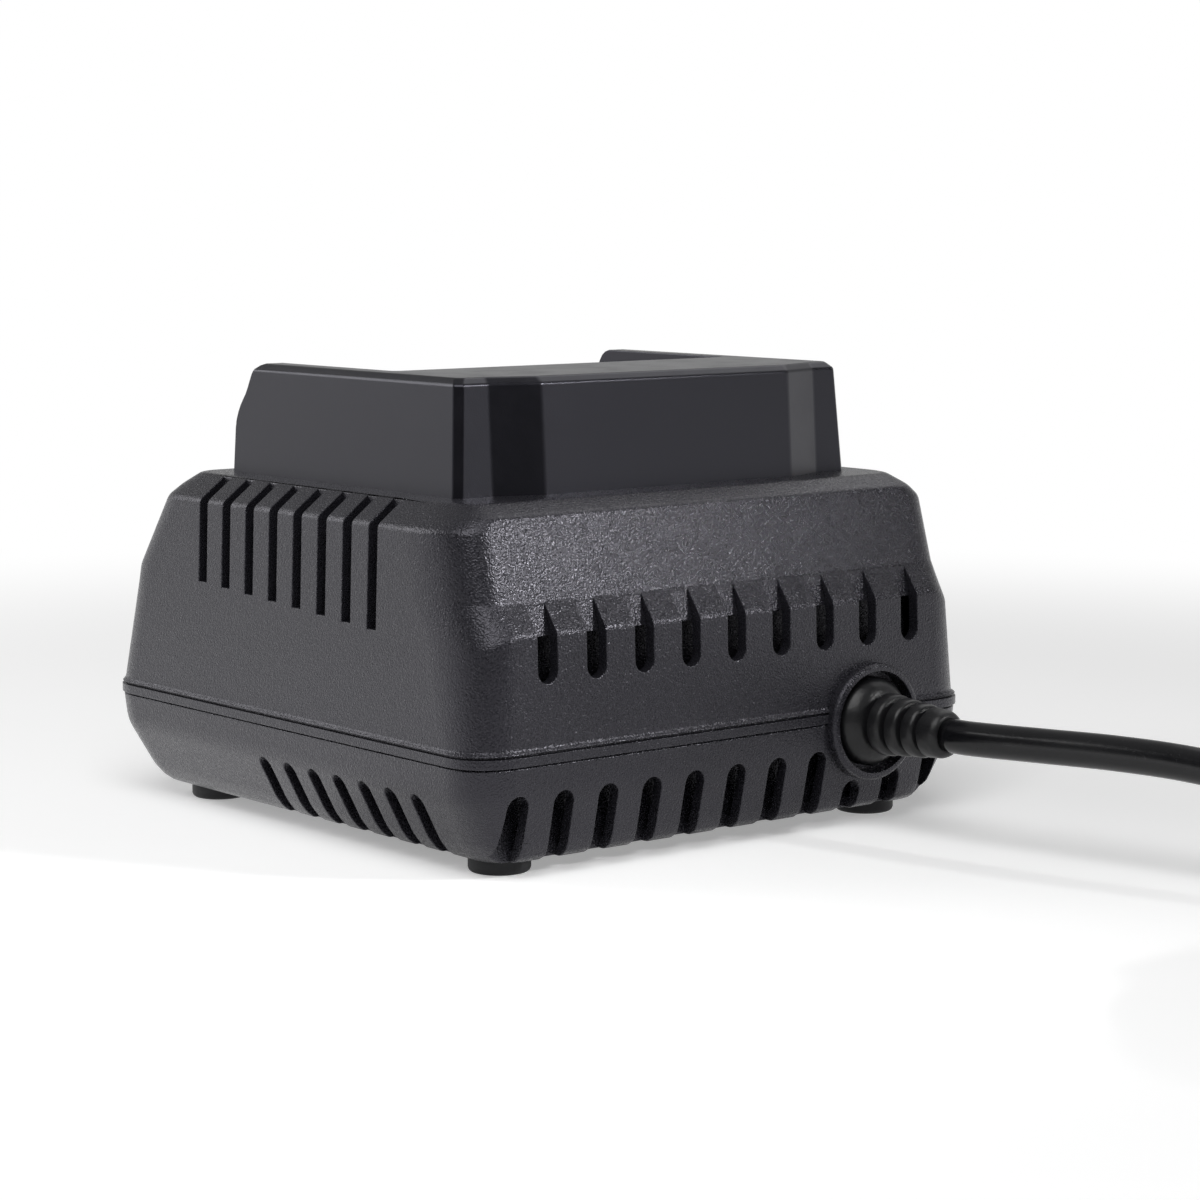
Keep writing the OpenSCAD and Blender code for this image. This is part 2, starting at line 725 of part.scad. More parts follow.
module battery_dock() color([0.17, 0.17, 0.18]) difference() {
    union() {
        difference() {
            dock_block(0, deck_z, dock_top, dock_bevel);
            // hollow of the rear block and of the side walls, closed at the wall ends
            difference() {
                dock_block(dock_wall, deck_z - 1, dock_top - dock_wall, 0);
                translate([-dock_w, -dock_front - 5, deck_z - 2])
                    cube([2 * dock_w, wall_end + 5, dock_h + 2]);
                translate([-bay_half - dock_wall, -dock_front - 5, deck_z - 2])
                    cube([2 * (bay_half + dock_wall), dock_front + 5 + bay_rear + dock_wall, dock_h + 2]);
                mirror_x() translate([rear_post_x, dock_screw_rear, 0])
                    cylinder(r = post_r, h = 2 * dock_top);
            }
            // the bay
            translate([-bay_half, -dock_front - 5, deck_z + tray_t])
                cube([2 * bay_half, dock_front + 5 + bay_rear, dock_h]);
        }
        // guide rails
        mirror_x() translate([bay_half - rail_w, -dock_front + 8, rail_z])
            cube([rail_w + 1, dock_front - 8 + bay_rear + 1, rail_t]);
    }
    wall_end_cut();
    dock_screw_places() translate([0, 0, -1]) cylinder(r = dock_screw_r, h = dock_screw_l - wall + 1.5);
    translate([-window_half, window_y, deck_z - 1]) cube([2 * window_half, window_d, tray_t + 2]);
    for (i = [0 : blades - 1])
        translate([(i - (blades - 1) / 2) * blade_pitch - blade_t / 2 - clear, bay_rear - 1,
            blade_z - clear])
            cube([blade_t + 2 * clear, dock_wall + 2, blade_h + 2 * clear]);
}

module dock_screws() color([0.7, 0.7, 0.72])
    dock_screw_places() translate([0, 0, -wall])
        screw(dock_screw_r, dock_screw_l, small_head_r, small_head_h);

module terminal_block() color([0.08, 0.08, 0.09]) difference() {
    union() {
        translate([-block_half, bay_rear - block_t, deck_z + tray_t])
            cube([2 * block_half, block_t, block_h]);
        for (i = [0 : blades])
            translate([(i - blades / 2) * blade_pitch - fin_t / 2, bay_rear - blade_l - 2, deck_z + tray_t])
                cube([fin_t, blade_l + 2, block_h]);
        translate([-block_half, bay_rear - blade_l - 2, deck_z + tray_t])
            cube([2 * block_half, blade_l + 2, 2.6]);
    }
    for (i = [0 : blades - 1])
        translate([(i - (blades - 1) / 2) * blade_pitch - blade_t / 2, bay_rear - block_t - 1, blade_z])
            cube([blade_t, block_t + 2, blade_h]);
}

module contact_blades() color([0.85, 0.75, 0.5]) for (i = [0 : blades - 1])
    translate([(i - (blades - 1) / 2) * blade_pitch - blade_t / 2, 0, 0]) rotate([90, 0, 90])
        linear_extrude(blade_t)
        polygon([[bay_rear - blade_l + 1.5, blade_z], [bay_rear + blade_tail, blade_z],
            [bay_rear + blade_tail, blade_z + blade_h / 2],
            [bay_rear + dock_wall + 1, blade_z + blade_h], [bay_rear - blade_l + 1.5, blade_z + blade_h],
            [bay_rear - blade_l, blade_z + blade_h - 1.5], [bay_rear - blade_l, blade_z + 1.5]]);

// ---------------------------------------------------------------- status lights

module light_pipes() color([0.85, 0.9, 0.85]) lean_frame() mirror_x() translate([light_x, 0, -light_l]) {
    cylinder(r = light_d / 2, h = light_l - 0.4);
    translate([0, 0, light_l - 0.4]) cylinder(r1 = light_d / 2, r2 = light_d / 2 - 0.8, h = 0.8);
}

module indicator_board() color([0.1, 0.35, 0.2]) lean_frame()
    translate([-light_x - 5, -light_board_h / 2, -light_l - led_h])
        cube([2 * light_x + 10, light_board_h, board_t]);

module indicator_leds() color([0.9, 0.9, 0.9]) lean_frame() mirror_x()
    translate([light_x, 0, -light_l - led_h + board_t])
    cylinder(r = 1.4, h = led_h - board_t);

// ---------------------------------------------------------------- cord and gland

module strain_relief() color([0.06, 0.06, 0.06]) translate([-gland_x, 0, gland_z]) rotate([-90, 0, 0])
    rotate_extrude()
    polygon(concat(
        [[0, inner_y + 4], [inner_flange_r, inner_y + 4], [inner_flange_r, wall_y - wall - clear],
            [neck_r, wall_y - wall - clear],
            [neck_r, recess_floor + clear], [flange_r, recess_floor + clear],
                [flange_r, recess_floor + flange_t]],
        [for (a = [15 : 15 : 90]) [collar_r + 1.4 + (flange_r - collar_r - 1.4) * cos(a),
            recess_floor + flange_t + bell_l * sin(a)]],
        rib(boot_y - collar_l - 9.6, 6.9), rib(boot_y - collar_l - 6.4, 6.5),
            rib(boot_y - collar_l - 3.2, 6.1),
        [[collar_r - 1, boot_y - collar_l], [collar_r, boot_y - collar_l + 0.6], [collar_r, boot_y - 1.2],
            [collar_r - 0.8, boot_y], [0, boot_y]]));

function rib(y, r) = [[collar_r - 1, y], [collar_r - 1, y + 0.7], [r - 0.4, y + 0.9], [r, y + 1.4],
    [r - 0.1, y + 2.4], [r - 0.8, y + 2.7],
    [collar_r - 1, y + 2.9]];

module cord_inner_end() color([0.1, 0.1, 0.1]) {
    translate([-gland_x, 0, gland_z]) along_y(clamp_y - 8, cord_d / 2, inner_y + 4 - clamp_y + 8);
    for (side = [-1, 1]) translate([-gland_x + side * 1.7, 0, 0]) {
        translate([0, clamp_y - lead_drop, gland_z]) rotate([-90, 0, 0])
            cylinder(r = 1.2, h = lead_drop - 8);
        translate([0, clamp_y - lead_drop, gland_z]) sphere(r = 1.2);
        translate([0, clamp_y - lead_drop, board_top]) cylinder(r = 1.2, h = gland_z - board_top);
    }
}

module cord_clamp() color([0.15, 0.15, 0.15]) difference() {
    translate([-gland_x - clamp_screw_x - 4, clamp_y - clamp_w / 2, saddle_z + cord_d])
        cube([2 * clamp_screw_x + 8, clamp_w, clamp_t]);
    for (side = [-1, 1])
        translate([-gland_x + side * clamp_screw_x, clamp_y, saddle_z])
            cylinder(r = small_screw_r + clear, h = 2 * cord_d);
}

module clamp_screws() color([0.7, 0.7, 0.72]) for (side = [-1, 1])
    translate([-gland_x + side * clamp_screw_x, clamp_y, saddle_z + cord_d + clamp_t]) mirror([0, 0, 1])
        screw(small_screw_r, clamp_screw_l, small_head_r, small_head_h);

module power_cord() color([0.05, 0.05, 0.05]) {
    tube(smooth(route), cord_d, tube_sides);
    tube(smooth(tail_route), cord_d, tube_sides);
}

// the route with one point added between each two
function smooth(p) = let (n = len(p) - 1) concat([for (i = [0 : n - 1])
    each [p[i], cat_rom(p[max(i - 1, 0)], p[i], p[i + 1], p[min(i + 2, n)], 0.5)]], [p[n]]);

module cord_coil() color([0.05, 0.05, 0.05]) translate([coil_x, coil_y, 0]) rotate_extrude($fn = 96)
    translate([coil_in, 0]) square([coil_out - coil_in, coil_h]);

module plug_place() {
    translate(plug_face) rotate([0, 0, plug_turn]) children();
}

module plug_body() color([0.05, 0.05, 0.05]) plug_place() {
    union() {
        translate([-plug_w / 2 + plug_t / 2, plug_neck, 0]) cube([plug_w - plug_t, plug_l, plug_t]);
        for (side = [-1, 1]) translate([side * (plug_w - plug_t) / 2, 0, plug_t / 2]) along_y(plug_neck,
            plug_t / 2, plug_l);
        skin([neck_ring(0, cord_z, cord_z), neck_ring(plug_neck * 0.6, cord_z + 1.4, cord_z + 0.6),
            neck_ring(plug_neck + 1, plug_t / 2, plug_t / 2 - 2)]);
    }
}

// a ring of the sleeve between the cord and the plug
function neck_ring(y, z, r) = [for (a = [0 : 15 : 345]) [r * cos(a), y, z - r * sin(a)]];

module plug_pins() color([0.8, 0.8, 0.82]) plug_place() for (side = [-1, 1])
    translate([side * pin_pitch / 2, 0, plug_t / 2]) {
        along_y(plug_neck + plug_l, pin_r, pin_l - pin_r);
        translate([0, plug_neck + plug_l + pin_l - pin_r, 0]) sphere(r = pin_r);
    }

// ---------------------------------------------------------------- electronics

module main_board() color([0.1, 0.35, 0.2]) difference() {
    translate([-board_w / 2, -board_front, board_z]) cube([board_w, board_front + board_rear, board_t]);
    mirror_x() for (y = [-stand_front, stand_rear])
        translate([stand_x, y, board_z - 1]) cylinder(r = small_screw_r + clear, h = board_t + 2);
}

module board_screws() color([0.7, 0.7, 0.72]) mirror_x() for (y = [-stand_front, stand_rear])
    translate([stand_x, y, board_top]) mirror([0, 0, 1])
        screw(small_screw_r, board_screw_l, small_head_r, small_head_h);

// two E cores face to face: three legs between two yokes
module transformer_core() color([0.25, 0.25, 0.26])
    translate([core_at[0], core_at[1], board_top + core_lift]) difference() {
    x = core_size[0];
    z = core_size[2] - core_lift;
    translate([-x / 2, -core_t / 2, 0]) cube([x, core_t, z]);
    for (x0 = [leg_t - x / 2, leg_t])
        translate([x0, -core_t, coil_gap]) cube([x / 2 - 2 * leg_t, 2 * core_t, z - 2 * coil_gap]);
}

// the wound and taped coil with the feet of its bobbin
module transformer_winding() color([0.85, 0.6, 0.15]) translate([core_at[0], core_at[1], board_top])
    difference() {
    low = core_lift + coil_gap + clear;
    union() {
        translate([0, 0, low]) cylinder(r = coil_r,
            h = core_size[2] - 2 * coil_gap - core_lift - 2 * clear);
        for (side = [-1, 1])
            translate([-bobbin_w / 2, side * bobbin_y - bobbin_t / 2, 0])
                cube([bobbin_w, bobbin_t, bobbin_h]);
    }
    translate([-leg_t - clear, -core_t / 2 - clear, -1])
        cube([2 * leg_t + 2 * clear, core_t + 2 * clear, core_size[2]]);
    translate([-core_size[0], -core_t / 2 - clear, -1])
        cube([2 * core_size[0], core_t + 2 * clear, low + 1]);
}

module capacitor(d, h) {
    rotate_extrude() polygon([[0, 0], [d / 2 - 0.6, 0], [d / 2, 0.8], [d / 2, 2.2], [d / 2 - 0.6, 2.8],
        [d / 2, 3.4],
        [d / 2, h - 0.6], [d / 2 - 0.6, h], [0, h]]);
}

module bulk_capacitor() color([0.12, 0.14, 0.3]) translate([bulk_at[0], bulk_at[1], board_top])
    capacitor(bulk_d, bulk_h);

module output_capacitors() color([0.1, 0.1, 0.12]) for (at = output_cap_at)
    translate([at[0], at[1], board_top]) capacitor(output_cap_d, output_cap_h);

module filter_choke() color([0.75, 0.4, 0.15]) translate([choke_at[0], choke_at[1], board_top]) {
    rotate_extrude() translate([choke_hole, 0]) square([choke_ring, choke_h]);
    for (a = [0 : 30 : 330]) rotate([0, 0, a]) translate([choke_hole + choke_ring, 0,
        0]) cylinder(r = wire_r, h = choke_h);
}

module x_capacitor() color([0.85, 0.75, 0.2])
    translate([xcap_at[0] - xcap_size[0] / 2, xcap_at[1] - xcap_size[1] / 2, board_top]) cube(xcap_size);

// a glass fuse lying in two clips
module fuse() color([0.85, 0.85, 0.85]) translate([fuse_at[0], fuse_at[1], board_top]) {
    translate([0, 0, fuse_z]) along_x(-fuse_l / 2, fuse_r, fuse_l);
    for (side = [-1, 1]) translate([side * (fuse_l / 2 - fuse_r) - clip_l / 2, -fuse_r - 0.6,
        0]) difference() {
        cube([clip_l, 2 * fuse_r + 1.2, clip_h]);
        translate([-1, fuse_r + 0.6, fuse_z]) along_x(0, fuse_r, clip_l + 2);
        translate([-1, 1.1, fuse_z]) cube([clip_l + 2, 2 * fuse_r - 1, clip_h]);
    }
}

// an extruded plate with fins on its -X side
module heat_sink(length) {
    translate([0, -length / 2, 0]) cube([sink_t, length, sink_h]);
    for (y = [0 : fin_gap : length - 1]) translate([-fin_l, -length / 2 + y, 0]) cube([fin_l + eps, 1.4,
        sink_h]);
}

module primary_heat_sink() color([0.75, 0.75, 0.77])
    translate([primary_at[0], primary_at[1], board_top]) heat_sink(primary_l);

module secondary_heat_sink() color([0.75, 0.75, 0.77])
    translate([secondary_at[0], secondary_at[1], board_top]) mirror([1, 0, 0]) heat_sink(secondary_l);

module power_package() {
    translate([0, -package[1] / 2, 8]) cube([tab_t, package[1], package[2]]);
    translate([tab_t, -package[1] / 2, 8]) cube([package[0] - tab_t, package[1], 9]);
    for (y = [-2.54, 0, 2.54]) translate([2, y - 0.4, 0]) cube([0.6, 0.8, 8 + eps]);
}

module switching_transistor() color([0.08, 0.08, 0.08])
    translate([primary_at[0] + sink_t, primary_at[1] + 4, board_top]) power_package();

module output_rectifier() color([0.08, 0.08, 0.08])
    translate([secondary_at[0] - sink_t, secondary_at[1], board_top]) mirror([1, 0, 0]) power_package();

module control_chips() color([0.06, 0.06, 0.06]) for (at = chip_at)
    translate([at[0], at[1], board_top]) cube(chip_size);

module output_leads() color([0.7, 0.1, 0.1]) for (i = [0 : blades - 1]) {
    x = (i - (blades - 1) / 2) * blade_pitch;
    translate([x, lead_y, board_top]) cylinder(r = 0.9, h = blade_z - board_top);
}

// ---------------------------------------------------------------- fan

module fan_place() {
    translate([fan_x, fan_y, fan_z]) children();
}

module fan_frame() color([0.06, 0.06, 0.06]) fan_place() difference() {
    union() {
        difference() {
            translate([-fan_depth / 2, -fan_size / 2, -fan_size / 2]) cube([fan_depth, fan_size, fan_size]);
            along_x(-fan_depth, fan_bore, 2 * fan_depth);
        }
        along_x(-fan_depth / 2 + 0.3, hub_r, strut_t);
        along_x(-fan_depth / 2 + 0.4, bearing_r, 5.6);
        for (a = [30 : 120 : 270]) rotate([a, 0, 0]) translate([-fan_depth / 2 + 0.4, -strut_w / 2,
            hub_r - 1])
            cube([strut_t - 0.2, strut_w, fan_bore - hub_r + 2]);
    }
    along_x(-fan_depth / 2 - 1, shaft_r + 0.05, fan_depth);
    for (sy = [-1, 1]) for (sz = [-1, 1]) translate([0, sy * (fan_size / 2 - 4), sz * (fan_size / 2 - 4)])
        along_x(-fan_depth, 1.7, 2 * fan_depth);
}

module fan_rotor() color([0.08, 0.08, 0.08]) fan_place() {
    difference() {
        along_x(-fan_depth / 2 + 2, hub_r, fan_depth - 3);
        along_x(-fan_depth / 2 + 1, hub_r - 1.3, fan_depth - 4);
    }
    along_x(-fan_depth / 2 + 0.5, shaft_r, fan_depth - 2.5);
    intersection() {
        for (i = [0 : fan_blades - 1]) rotate([360 * i / fan_blades, 0, 0]) translate([1, 0, hub_r - 1])
            rotate([0, 0, 38]) translate([-6, -0.5, 0]) cube([12, 1, fan_bore]);
        difference() {
            along_x(-fan_depth / 2 + 2, fan_bore - 0.7, fan_depth - 3);
            along_x(-fan_depth, hub_r - 0.6, 2 * fan_depth);
        }
    }
}

upper_housing();
lower_housing();
battery_dock();
terminal_block();
contact_blades();
light_pipes();
indicator_board();
indicator_leds();
main_board();
transformer_core();
transformer_winding();
bulk_capacitor();
output_capacitors();
filter_choke();
x_capacitor();
fuse();
primary_heat_sink();
secondary_heat_sink();
switching_transistor();
output_rectifier();
control_chips();
fan_frame();
fan_rotor();
housing_screws();
dock_screws();
board_screws();
rubber_feet();
strain_relief();
cord_clamp();
clamp_screws();
cord_inner_end();
output_leads();
power_cord();
cord_coil();
plug_body();
plug_pins();
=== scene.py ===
from math import asin, atan2, cos, hypot, pi, radians, sin, sqrt

import bmesh
import bpy
from mathutils import Matrix, Vector


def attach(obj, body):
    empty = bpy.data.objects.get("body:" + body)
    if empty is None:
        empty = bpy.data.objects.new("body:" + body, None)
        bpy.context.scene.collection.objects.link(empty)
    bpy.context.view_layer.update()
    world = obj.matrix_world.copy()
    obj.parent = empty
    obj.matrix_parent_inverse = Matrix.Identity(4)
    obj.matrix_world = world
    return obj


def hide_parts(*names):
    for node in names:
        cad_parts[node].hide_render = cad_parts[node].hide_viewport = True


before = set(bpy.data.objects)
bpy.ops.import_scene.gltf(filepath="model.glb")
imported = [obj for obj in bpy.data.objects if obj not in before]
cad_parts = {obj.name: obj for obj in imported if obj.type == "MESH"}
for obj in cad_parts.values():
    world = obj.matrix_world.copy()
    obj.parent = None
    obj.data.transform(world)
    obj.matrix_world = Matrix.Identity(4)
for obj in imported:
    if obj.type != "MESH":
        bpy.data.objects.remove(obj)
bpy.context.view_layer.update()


# ---------------------------------------------------------------- camera and studio
# The camera looks from behind the left rear corner, a little above the dock, through a long lens
# about 0.7 m away.

looks_down, turned_by = 7.29, 39.17
camera = bpy.data.objects.new("camera", bpy.data.cameras.new("camera"))
camera.data.lens = 95.4
camera.location = (0.4386, 0.5622, 0.13733)
camera.rotation_euler = (radians(90 - looks_down), 0, radians(180 - turned_by))
bpy.context.scene.collection.objects.link(camera)
bpy.context.scene.camera = camera
bpy.context.scene.view_settings.view_transform = "Standard"


class Wire:
    """A socket that takes arithmetic: every expression adds the Math nodes that it needs."""

    def __init__(self, tree, socket=None):
        self.tree, self.socket = tree, socket

    def node(self, kind, settings=None, inputs=None, out=0):
        made = self.tree.nodes.new("ShaderNode" + kind)
        for key, value in (settings or {}).items():
            setattr(made, key, value)
        for key, value in (inputs or {}).items():
            if isinstance(value, Wire):
                self.tree.links.new(value.socket, made.inputs[key])
            else:
                made.inputs[key].default_value = value
        return Wire(self.tree, made.outputs[out] if made.outputs else None)

    def math(self, operation, *values):
        return self.node("Math", {"operation": operation}, dict(enumerate(values)))

    def __add__(self, other):
        return self.math("ADD", self, other)

    def __sub__(self, other):
        return self.math("SUBTRACT", self, other)

    def __rsub__(self, other):
        return self.math("SUBTRACT", other, self)

    def __mul__(self, other):
        return self.math("MULTIPLY", self, other)

    __radd__ = __add__
    __rmul__ = __mul__

    def step(self, low, high):
        """0 below low, 1 above high and smooth between them."""
        smooth = {"interpolation_type": "SMOOTHSTEP"}
        return self.node("MapRange", smooth, {0: self, 1: low, 2: high})

    def noise(self, scale, detail, **more):
        """Noise over this place."""
        inputs = {"Vector": self, "Scale": scale, "Detail": detail, **more}
        return self.node("TexNoise", None, inputs)

    def bump(self, strength, distance):
        """The normal of a surface that this value raises."""
        return self.node("Bump", None, {"Strength": strength, "Distance": distance, "Height": self})

    def tint(self, dark, light):
        """A colour between two, as this value goes from 0 to 1."""
        ends = {0: self, 6: (*dark, 1), 7: (*light, 1)}
        return self.node("Mix", {"data_type": "RGBA"}, ends, out=2)


def emptied(owner):
    """The node tree of a material or world, emptied."""
    owner.use_nodes = True
    owner.node_tree.nodes.clear()
    return Wire(owner.node_tree)


# The sweep is a wide sheet of matt white board. Away from the object it goes over into plain white,
# except towards the dark end of the room, where the boxes of light stand.
white = (1, 1, 1, 1)
sweep_half = 3.0
bright_from, bright_to = 0.24, 0.55
dark_end = (0.42, 0.88, 0.22)
board = bpy.data.materials.new("white_board")
pen = emptied(board)
place = pen.node("TexCoord", out=3)
away = pen.node("VectorMath", {"operation": "LENGTH"}, {0: place}, out=1)
ahead = pen.node("VectorMath", {"operation": "NORMALIZE"}, {0: place})
towards = pen.node("VectorMath", {"operation": "DOT_PRODUCT"}, {0: ahead, 1: dark_end}, out=1)
camera_ray, gloss_ray, through_ray = [pen.node("LightPath", out=k) for k in (0, 3, 6)]
straight = camera_ray.math("MAXIMUM", camera_ray, through_ray)
seen = straight.math("MAXIMUM", straight, gloss_ray)
matt = pen.node("BsdfDiffuse", None, {0: (0.86, 0.86, 0.86, 1)})
near_glow = camera_ray * 0.33 + gloss_ray * (0.65 - 0.42 * towards.step(0.2, 0.7))
far_glow = straight + gloss_ray * (1 - 0.86 * towards.step(0.45, 0.8))
lift = pen.node("Emission", None, {0: white, 1: near_glow})
near = pen.node("AddShader", None, {0: matt, 1: lift})
plain = pen.node("Emission", None, {0: white, 1: far_glow})
far = away.step(bright_from, bright_to) * seen
whole = pen.node("MixShader", None, {0: far, 1: near, 2: plain})
pen.node("OutputMaterial", None, {0: whole})
sheet = bpy.data.meshes.new("sweep")
corners = [(-1, -1), (1, -1), (1, 1), (-1, 1)]
sheet.from_pydata([(sweep_half * x, sweep_half * y, 0) for x, y in corners], [], [(0, 1, 2, 3)])
sheet.materials.append(board)
floor = bpy.data.objects.new("sweep", sheet)
bpy.context.scene.collection.objects.link(floor)

# The room is white where a ray looks at it, dim towards its dark end and overhead, and lights the
# object a little from all sides. One bright panel hangs above the object on the right.
room = bpy.data.worlds.new("room")
bpy.context.scene.world = room
pen = emptied(room)
around = pen.node("TexCoord", out=0)
towards = pen.node("VectorMath", {"operation": "DOT_PRODUCT"}, {0: around, 1: dark_end}, out=1)
camera_ray, gloss_ray, through_ray = [pen.node("LightPath", out=k) for k in (0, 3, 6)]
seen = camera_ray.math("MAXIMUM", camera_ray, through_ray)
ambient, over_end = 0.11, (-0.6, -0.15, 0.79)
above = pen.node("SeparateXYZ", None, {0: around}, out=2)
over = pen.node("VectorMath", {"operation": "DOT_PRODUCT"}, {0: around, 1: over_end}, out=1)
sky = 1 - 0.88 * towards.step(0.45, 0.8)
sky = sky * (1 - 0.9 * towards.step(-0.05, 0.25) * above.step(0.05, 0.25))
sky = sky * (1 - 0.45 * above.step(0.05, 0.16)) * (1 - 0.4 * above.step(0.2, 0.5))
sky = sky + 1.4 * over.step(0.9, 0.98)
strength = ambient + seen * (1 - ambient) + gloss_ray * (sky - ambient)
pen.node("OutputWorld", None, {0: pen.node("Background", None, {0: white, 1: strength})})

# A spot with a soft edge behind the object on the right, aimed at its near corner, and two soft
# boxes, one above the camera and one in front on the left.
spot = bpy.data.lights.new("rear_spot", "SPOT")
spot.energy, spot.shadow_soft_size = 34.0, 0.08
spot.spot_size, spot.spot_blend = radians(14.6), 1.0
overhead = bpy.data.lights.new("high_box", "AREA")
overhead.energy, overhead.size = 8.2, 0.8
across = bpy.data.lights.new("side_box", "AREA")
across.energy, across.size = 7.0, 0.8
for lamp, place, aim in (
    (spot, (-0.466, 0.849, 0.523), (0.092, 0.06, 0.05)),
    (overhead, (0.5, 0.52, 0.95), (0.03, 0.03, 0.05)),
    (across, (0.8, -0.95, 0.7), (0, 0, 0.04)),
):
    stand = bpy.data.objects.new(lamp.name, lamp)
    stand.location = place
    stand.rotation_euler = (Vector(aim) - Vector(place)).to_track_quat("-Z", "Y").to_euler()
    bpy.context.scene.collection.objects.link(stand)


# ---------------------------------------------------------------- mains cord
# A round two-core PVC lead, 7.4 mm thick. It runs out of the boot in a low arch, down to the floor
# and into a flat round coil, and a short tail leaves the coil for the plug.

MM = 0.001
cord_d, cord_step = 7.4, 3
cord_route = [
    (-38.3, 94, 23.5), (-38.4, 99, 23.5), (-40, 108, 23.7), (-42.2, 119, 24),
    (-45, 134, 24.4), (-48, 150, 24.2), (-50.8, 166, 22.8), (-53.3, 181, 19.6),
    (-55.2, 195, 15.2), (-56.5, 208, 10.6), (-57.2, 221, 6.7), (-57.4, 233, 4.4),
    (-57.4, 246, 3.7),
]
coil_middle, coil_r = (-8, 268), 42
coil_radii = [coil_r + cord_d, coil_r, coil_r - cord_d]
coil_levels = [cord_d * (k + 0.5) for k in range(3)]
tail_route = [(x, y, coil_levels[2]) for x, y in (
    (9, 314.4), (20.3, 308.5), (29.8, 299.8), (36.8, 289), (39.5, 278.8),
    (38.6, 268.4), (34.2, 259), (26.8, 251.6), (17.6, 247), (10, 246),
)]
# the coil as turning angle, radius and level: inward on the floor, up at the middle, outward on top
coil_steps = [
    (0, 0, 0), (260, 0, 0), (320, 1, 0), (500, 1, 0), (560, 2, 0), (830, 2, 0), (890, 2, 1),
    (1130, 2, 1), (1190, 1, 1), (1490, 1, 1), (1550, 0, 1), (1820, 0, 1), (1880, 0, 2),
    (1908, 0, 2),
]


def eased(t):
    """From 0 to 1 with a gentle start and end."""
    return t * t * (3 - 2 * t)


def coil_points(step=6):
    """Points round the coil, each a fixed angle after the last."""
    points = []
    angle = coil_steps[0][0]
    while angle <= coil_steps[-1][0]:
        after = next(k for k, s in enumerate(coil_steps) if s[0] >= angle and k > 0)
        (a, r0, z0), (b, r1, z1) = coil_steps[after - 1], coil_steps[after]
        t = eased((angle - a) / (b - a))
        r = coil_radii[r0] + (coil_radii[r1] - coil_radii[r0]) * t
        z = coil_levels[z0] + (coil_levels[z1] - coil_levels[z0]) * t
        turn = radians(180 - angle)
        points.append((coil_middle[0] + r * cos(turn), coil_middle[1] + r * sin(turn), z))
        angle += step
    return points


def smooth_route(points, spacing):
    """A smooth curve through points, cut into steps of about one spacing."""
    p = [Vector(q) for q in points]
    p = [2 * p[0] - p[1]] + p + [2 * p[-1] - p[-2]]
    fine = []
    for k in range(1, len(p) - 2):
        steps = max(2, round((p[k + 1] - p[k]).length / spacing))
        for i in range(steps):
            t = i / steps
            fine.append(0.5 * (
                2 * p[k] + (p[k + 1] - p[k - 1]) * t
                + (2 * p[k - 1] - 5 * p[k] + 4 * p[k + 1] - p[k + 2]) * t * t
                + (3 * p[k] - p[k - 1] - 3 * p[k + 1] + p[k + 2]) * t ** 3
            ))
    return fine + [p[-2]]


def shown(name, mesh, material=None):
    """An object of a mesh, linked to the scene."""
    piece = bpy.data.objects.new(name, mesh)
    bpy.context.scene.collection.objects.link(piece)
    if material:
        mesh.materials.append(material)
    return piece


def tube(name, path, radius, sides=20):
    """A round tube along a path in millimetres, with flat ends."""
    verts, faces = [], []
    last = len(path) - 1
    side = Vector((1, 0, 0))
    for i, p in enumerate(path):
        ahead = (path[min(i + 1, last)] - path[max(i - 1, 0)]).normalized()
        side = (side - ahead * side.dot(ahead)).normalized()
        up = ahead.cross(side)
        for k in range(sides):
            a = 2 * pi * k / sides
            verts.append((p + radius * (cos(a) * side + sin(a) * up)) * MM)
        if i:
            here, before = i * sides, (i - 1) * sides
            for k in range(sides):
                after = (k + 1) % sides
                faces.append((before + k, before + after, here + after, here + k))
    faces += [tuple(reversed(range(sides))), tuple(range(last * sides, (last + 1) * sides))]
    mesh = bpy.data.meshes.new(name)
    mesh.from_pydata(verts, [], faces)
    mesh.shade_smooth()
    return mesh


def blank(name):
    """A new material, a pen for its nodes, and the place on the piece that its patterns follow."""
    made = bpy.data.materials.new(name)
    pen = emptied(made)
    return made, pen, pen.node("TexCoord", out=3)


def soft_pvc(name, gloss, ripple, base=(0.008, 0.008, 0.009)):
    """Soft black PVC: glossy, faintly rippled by the extruder, with dull handling marks."""
    made, pen, place = blank(name)
    marks = place.noise(90.0, 4.0)
    dust = place.noise(1400.0, 2.0).step(0.62, 0.75)
    waves = place.noise(260.0, 3.0)
    bump = waves.bump(ripple, 0.0004)
    shade = pen.node("BsdfPrincipled", None, {
        "Base Color": (dust * 0.4 + marks * 0.2).tint(base, (0.03, 0.03, 0.032)),
        "Roughness": marks.step(0.35, 0.7) * 0.1 + gloss,
        "Specular IOR Level": 0.4,
        "Normal": bump,
    })
    pen.node("OutputMaterial", None, {0: shade})
    return made


cord_pvc = soft_pvc("cord_pvc", 0.15, 0.1, (0.003, 0.003, 0.004))
whole_cord = smooth_route(cord_route, cord_step)[:-1]
whole_cord += smooth_route([cord_route[-1]] + coil_points() + [tail_route[0]], cord_step)[:-1]
whole_cord += smooth_route(tail_route, cord_step)
cord_length = sum((b - a).length for a, b in zip(whole_cord, whole_cord[1:]))
cord = shown("mains_cord", tube("mains_cord", whole_cord, cord_d / 2), cord_pvc)
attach(cord, "charger")
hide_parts("power_cord", "cord_coil")


# ---------------------------------------------------------------- plug
# A flat two-pin plug moulded onto the cord in one shot of PVC, with grip ridges on both faces and a
# ribbed sleeve behind.

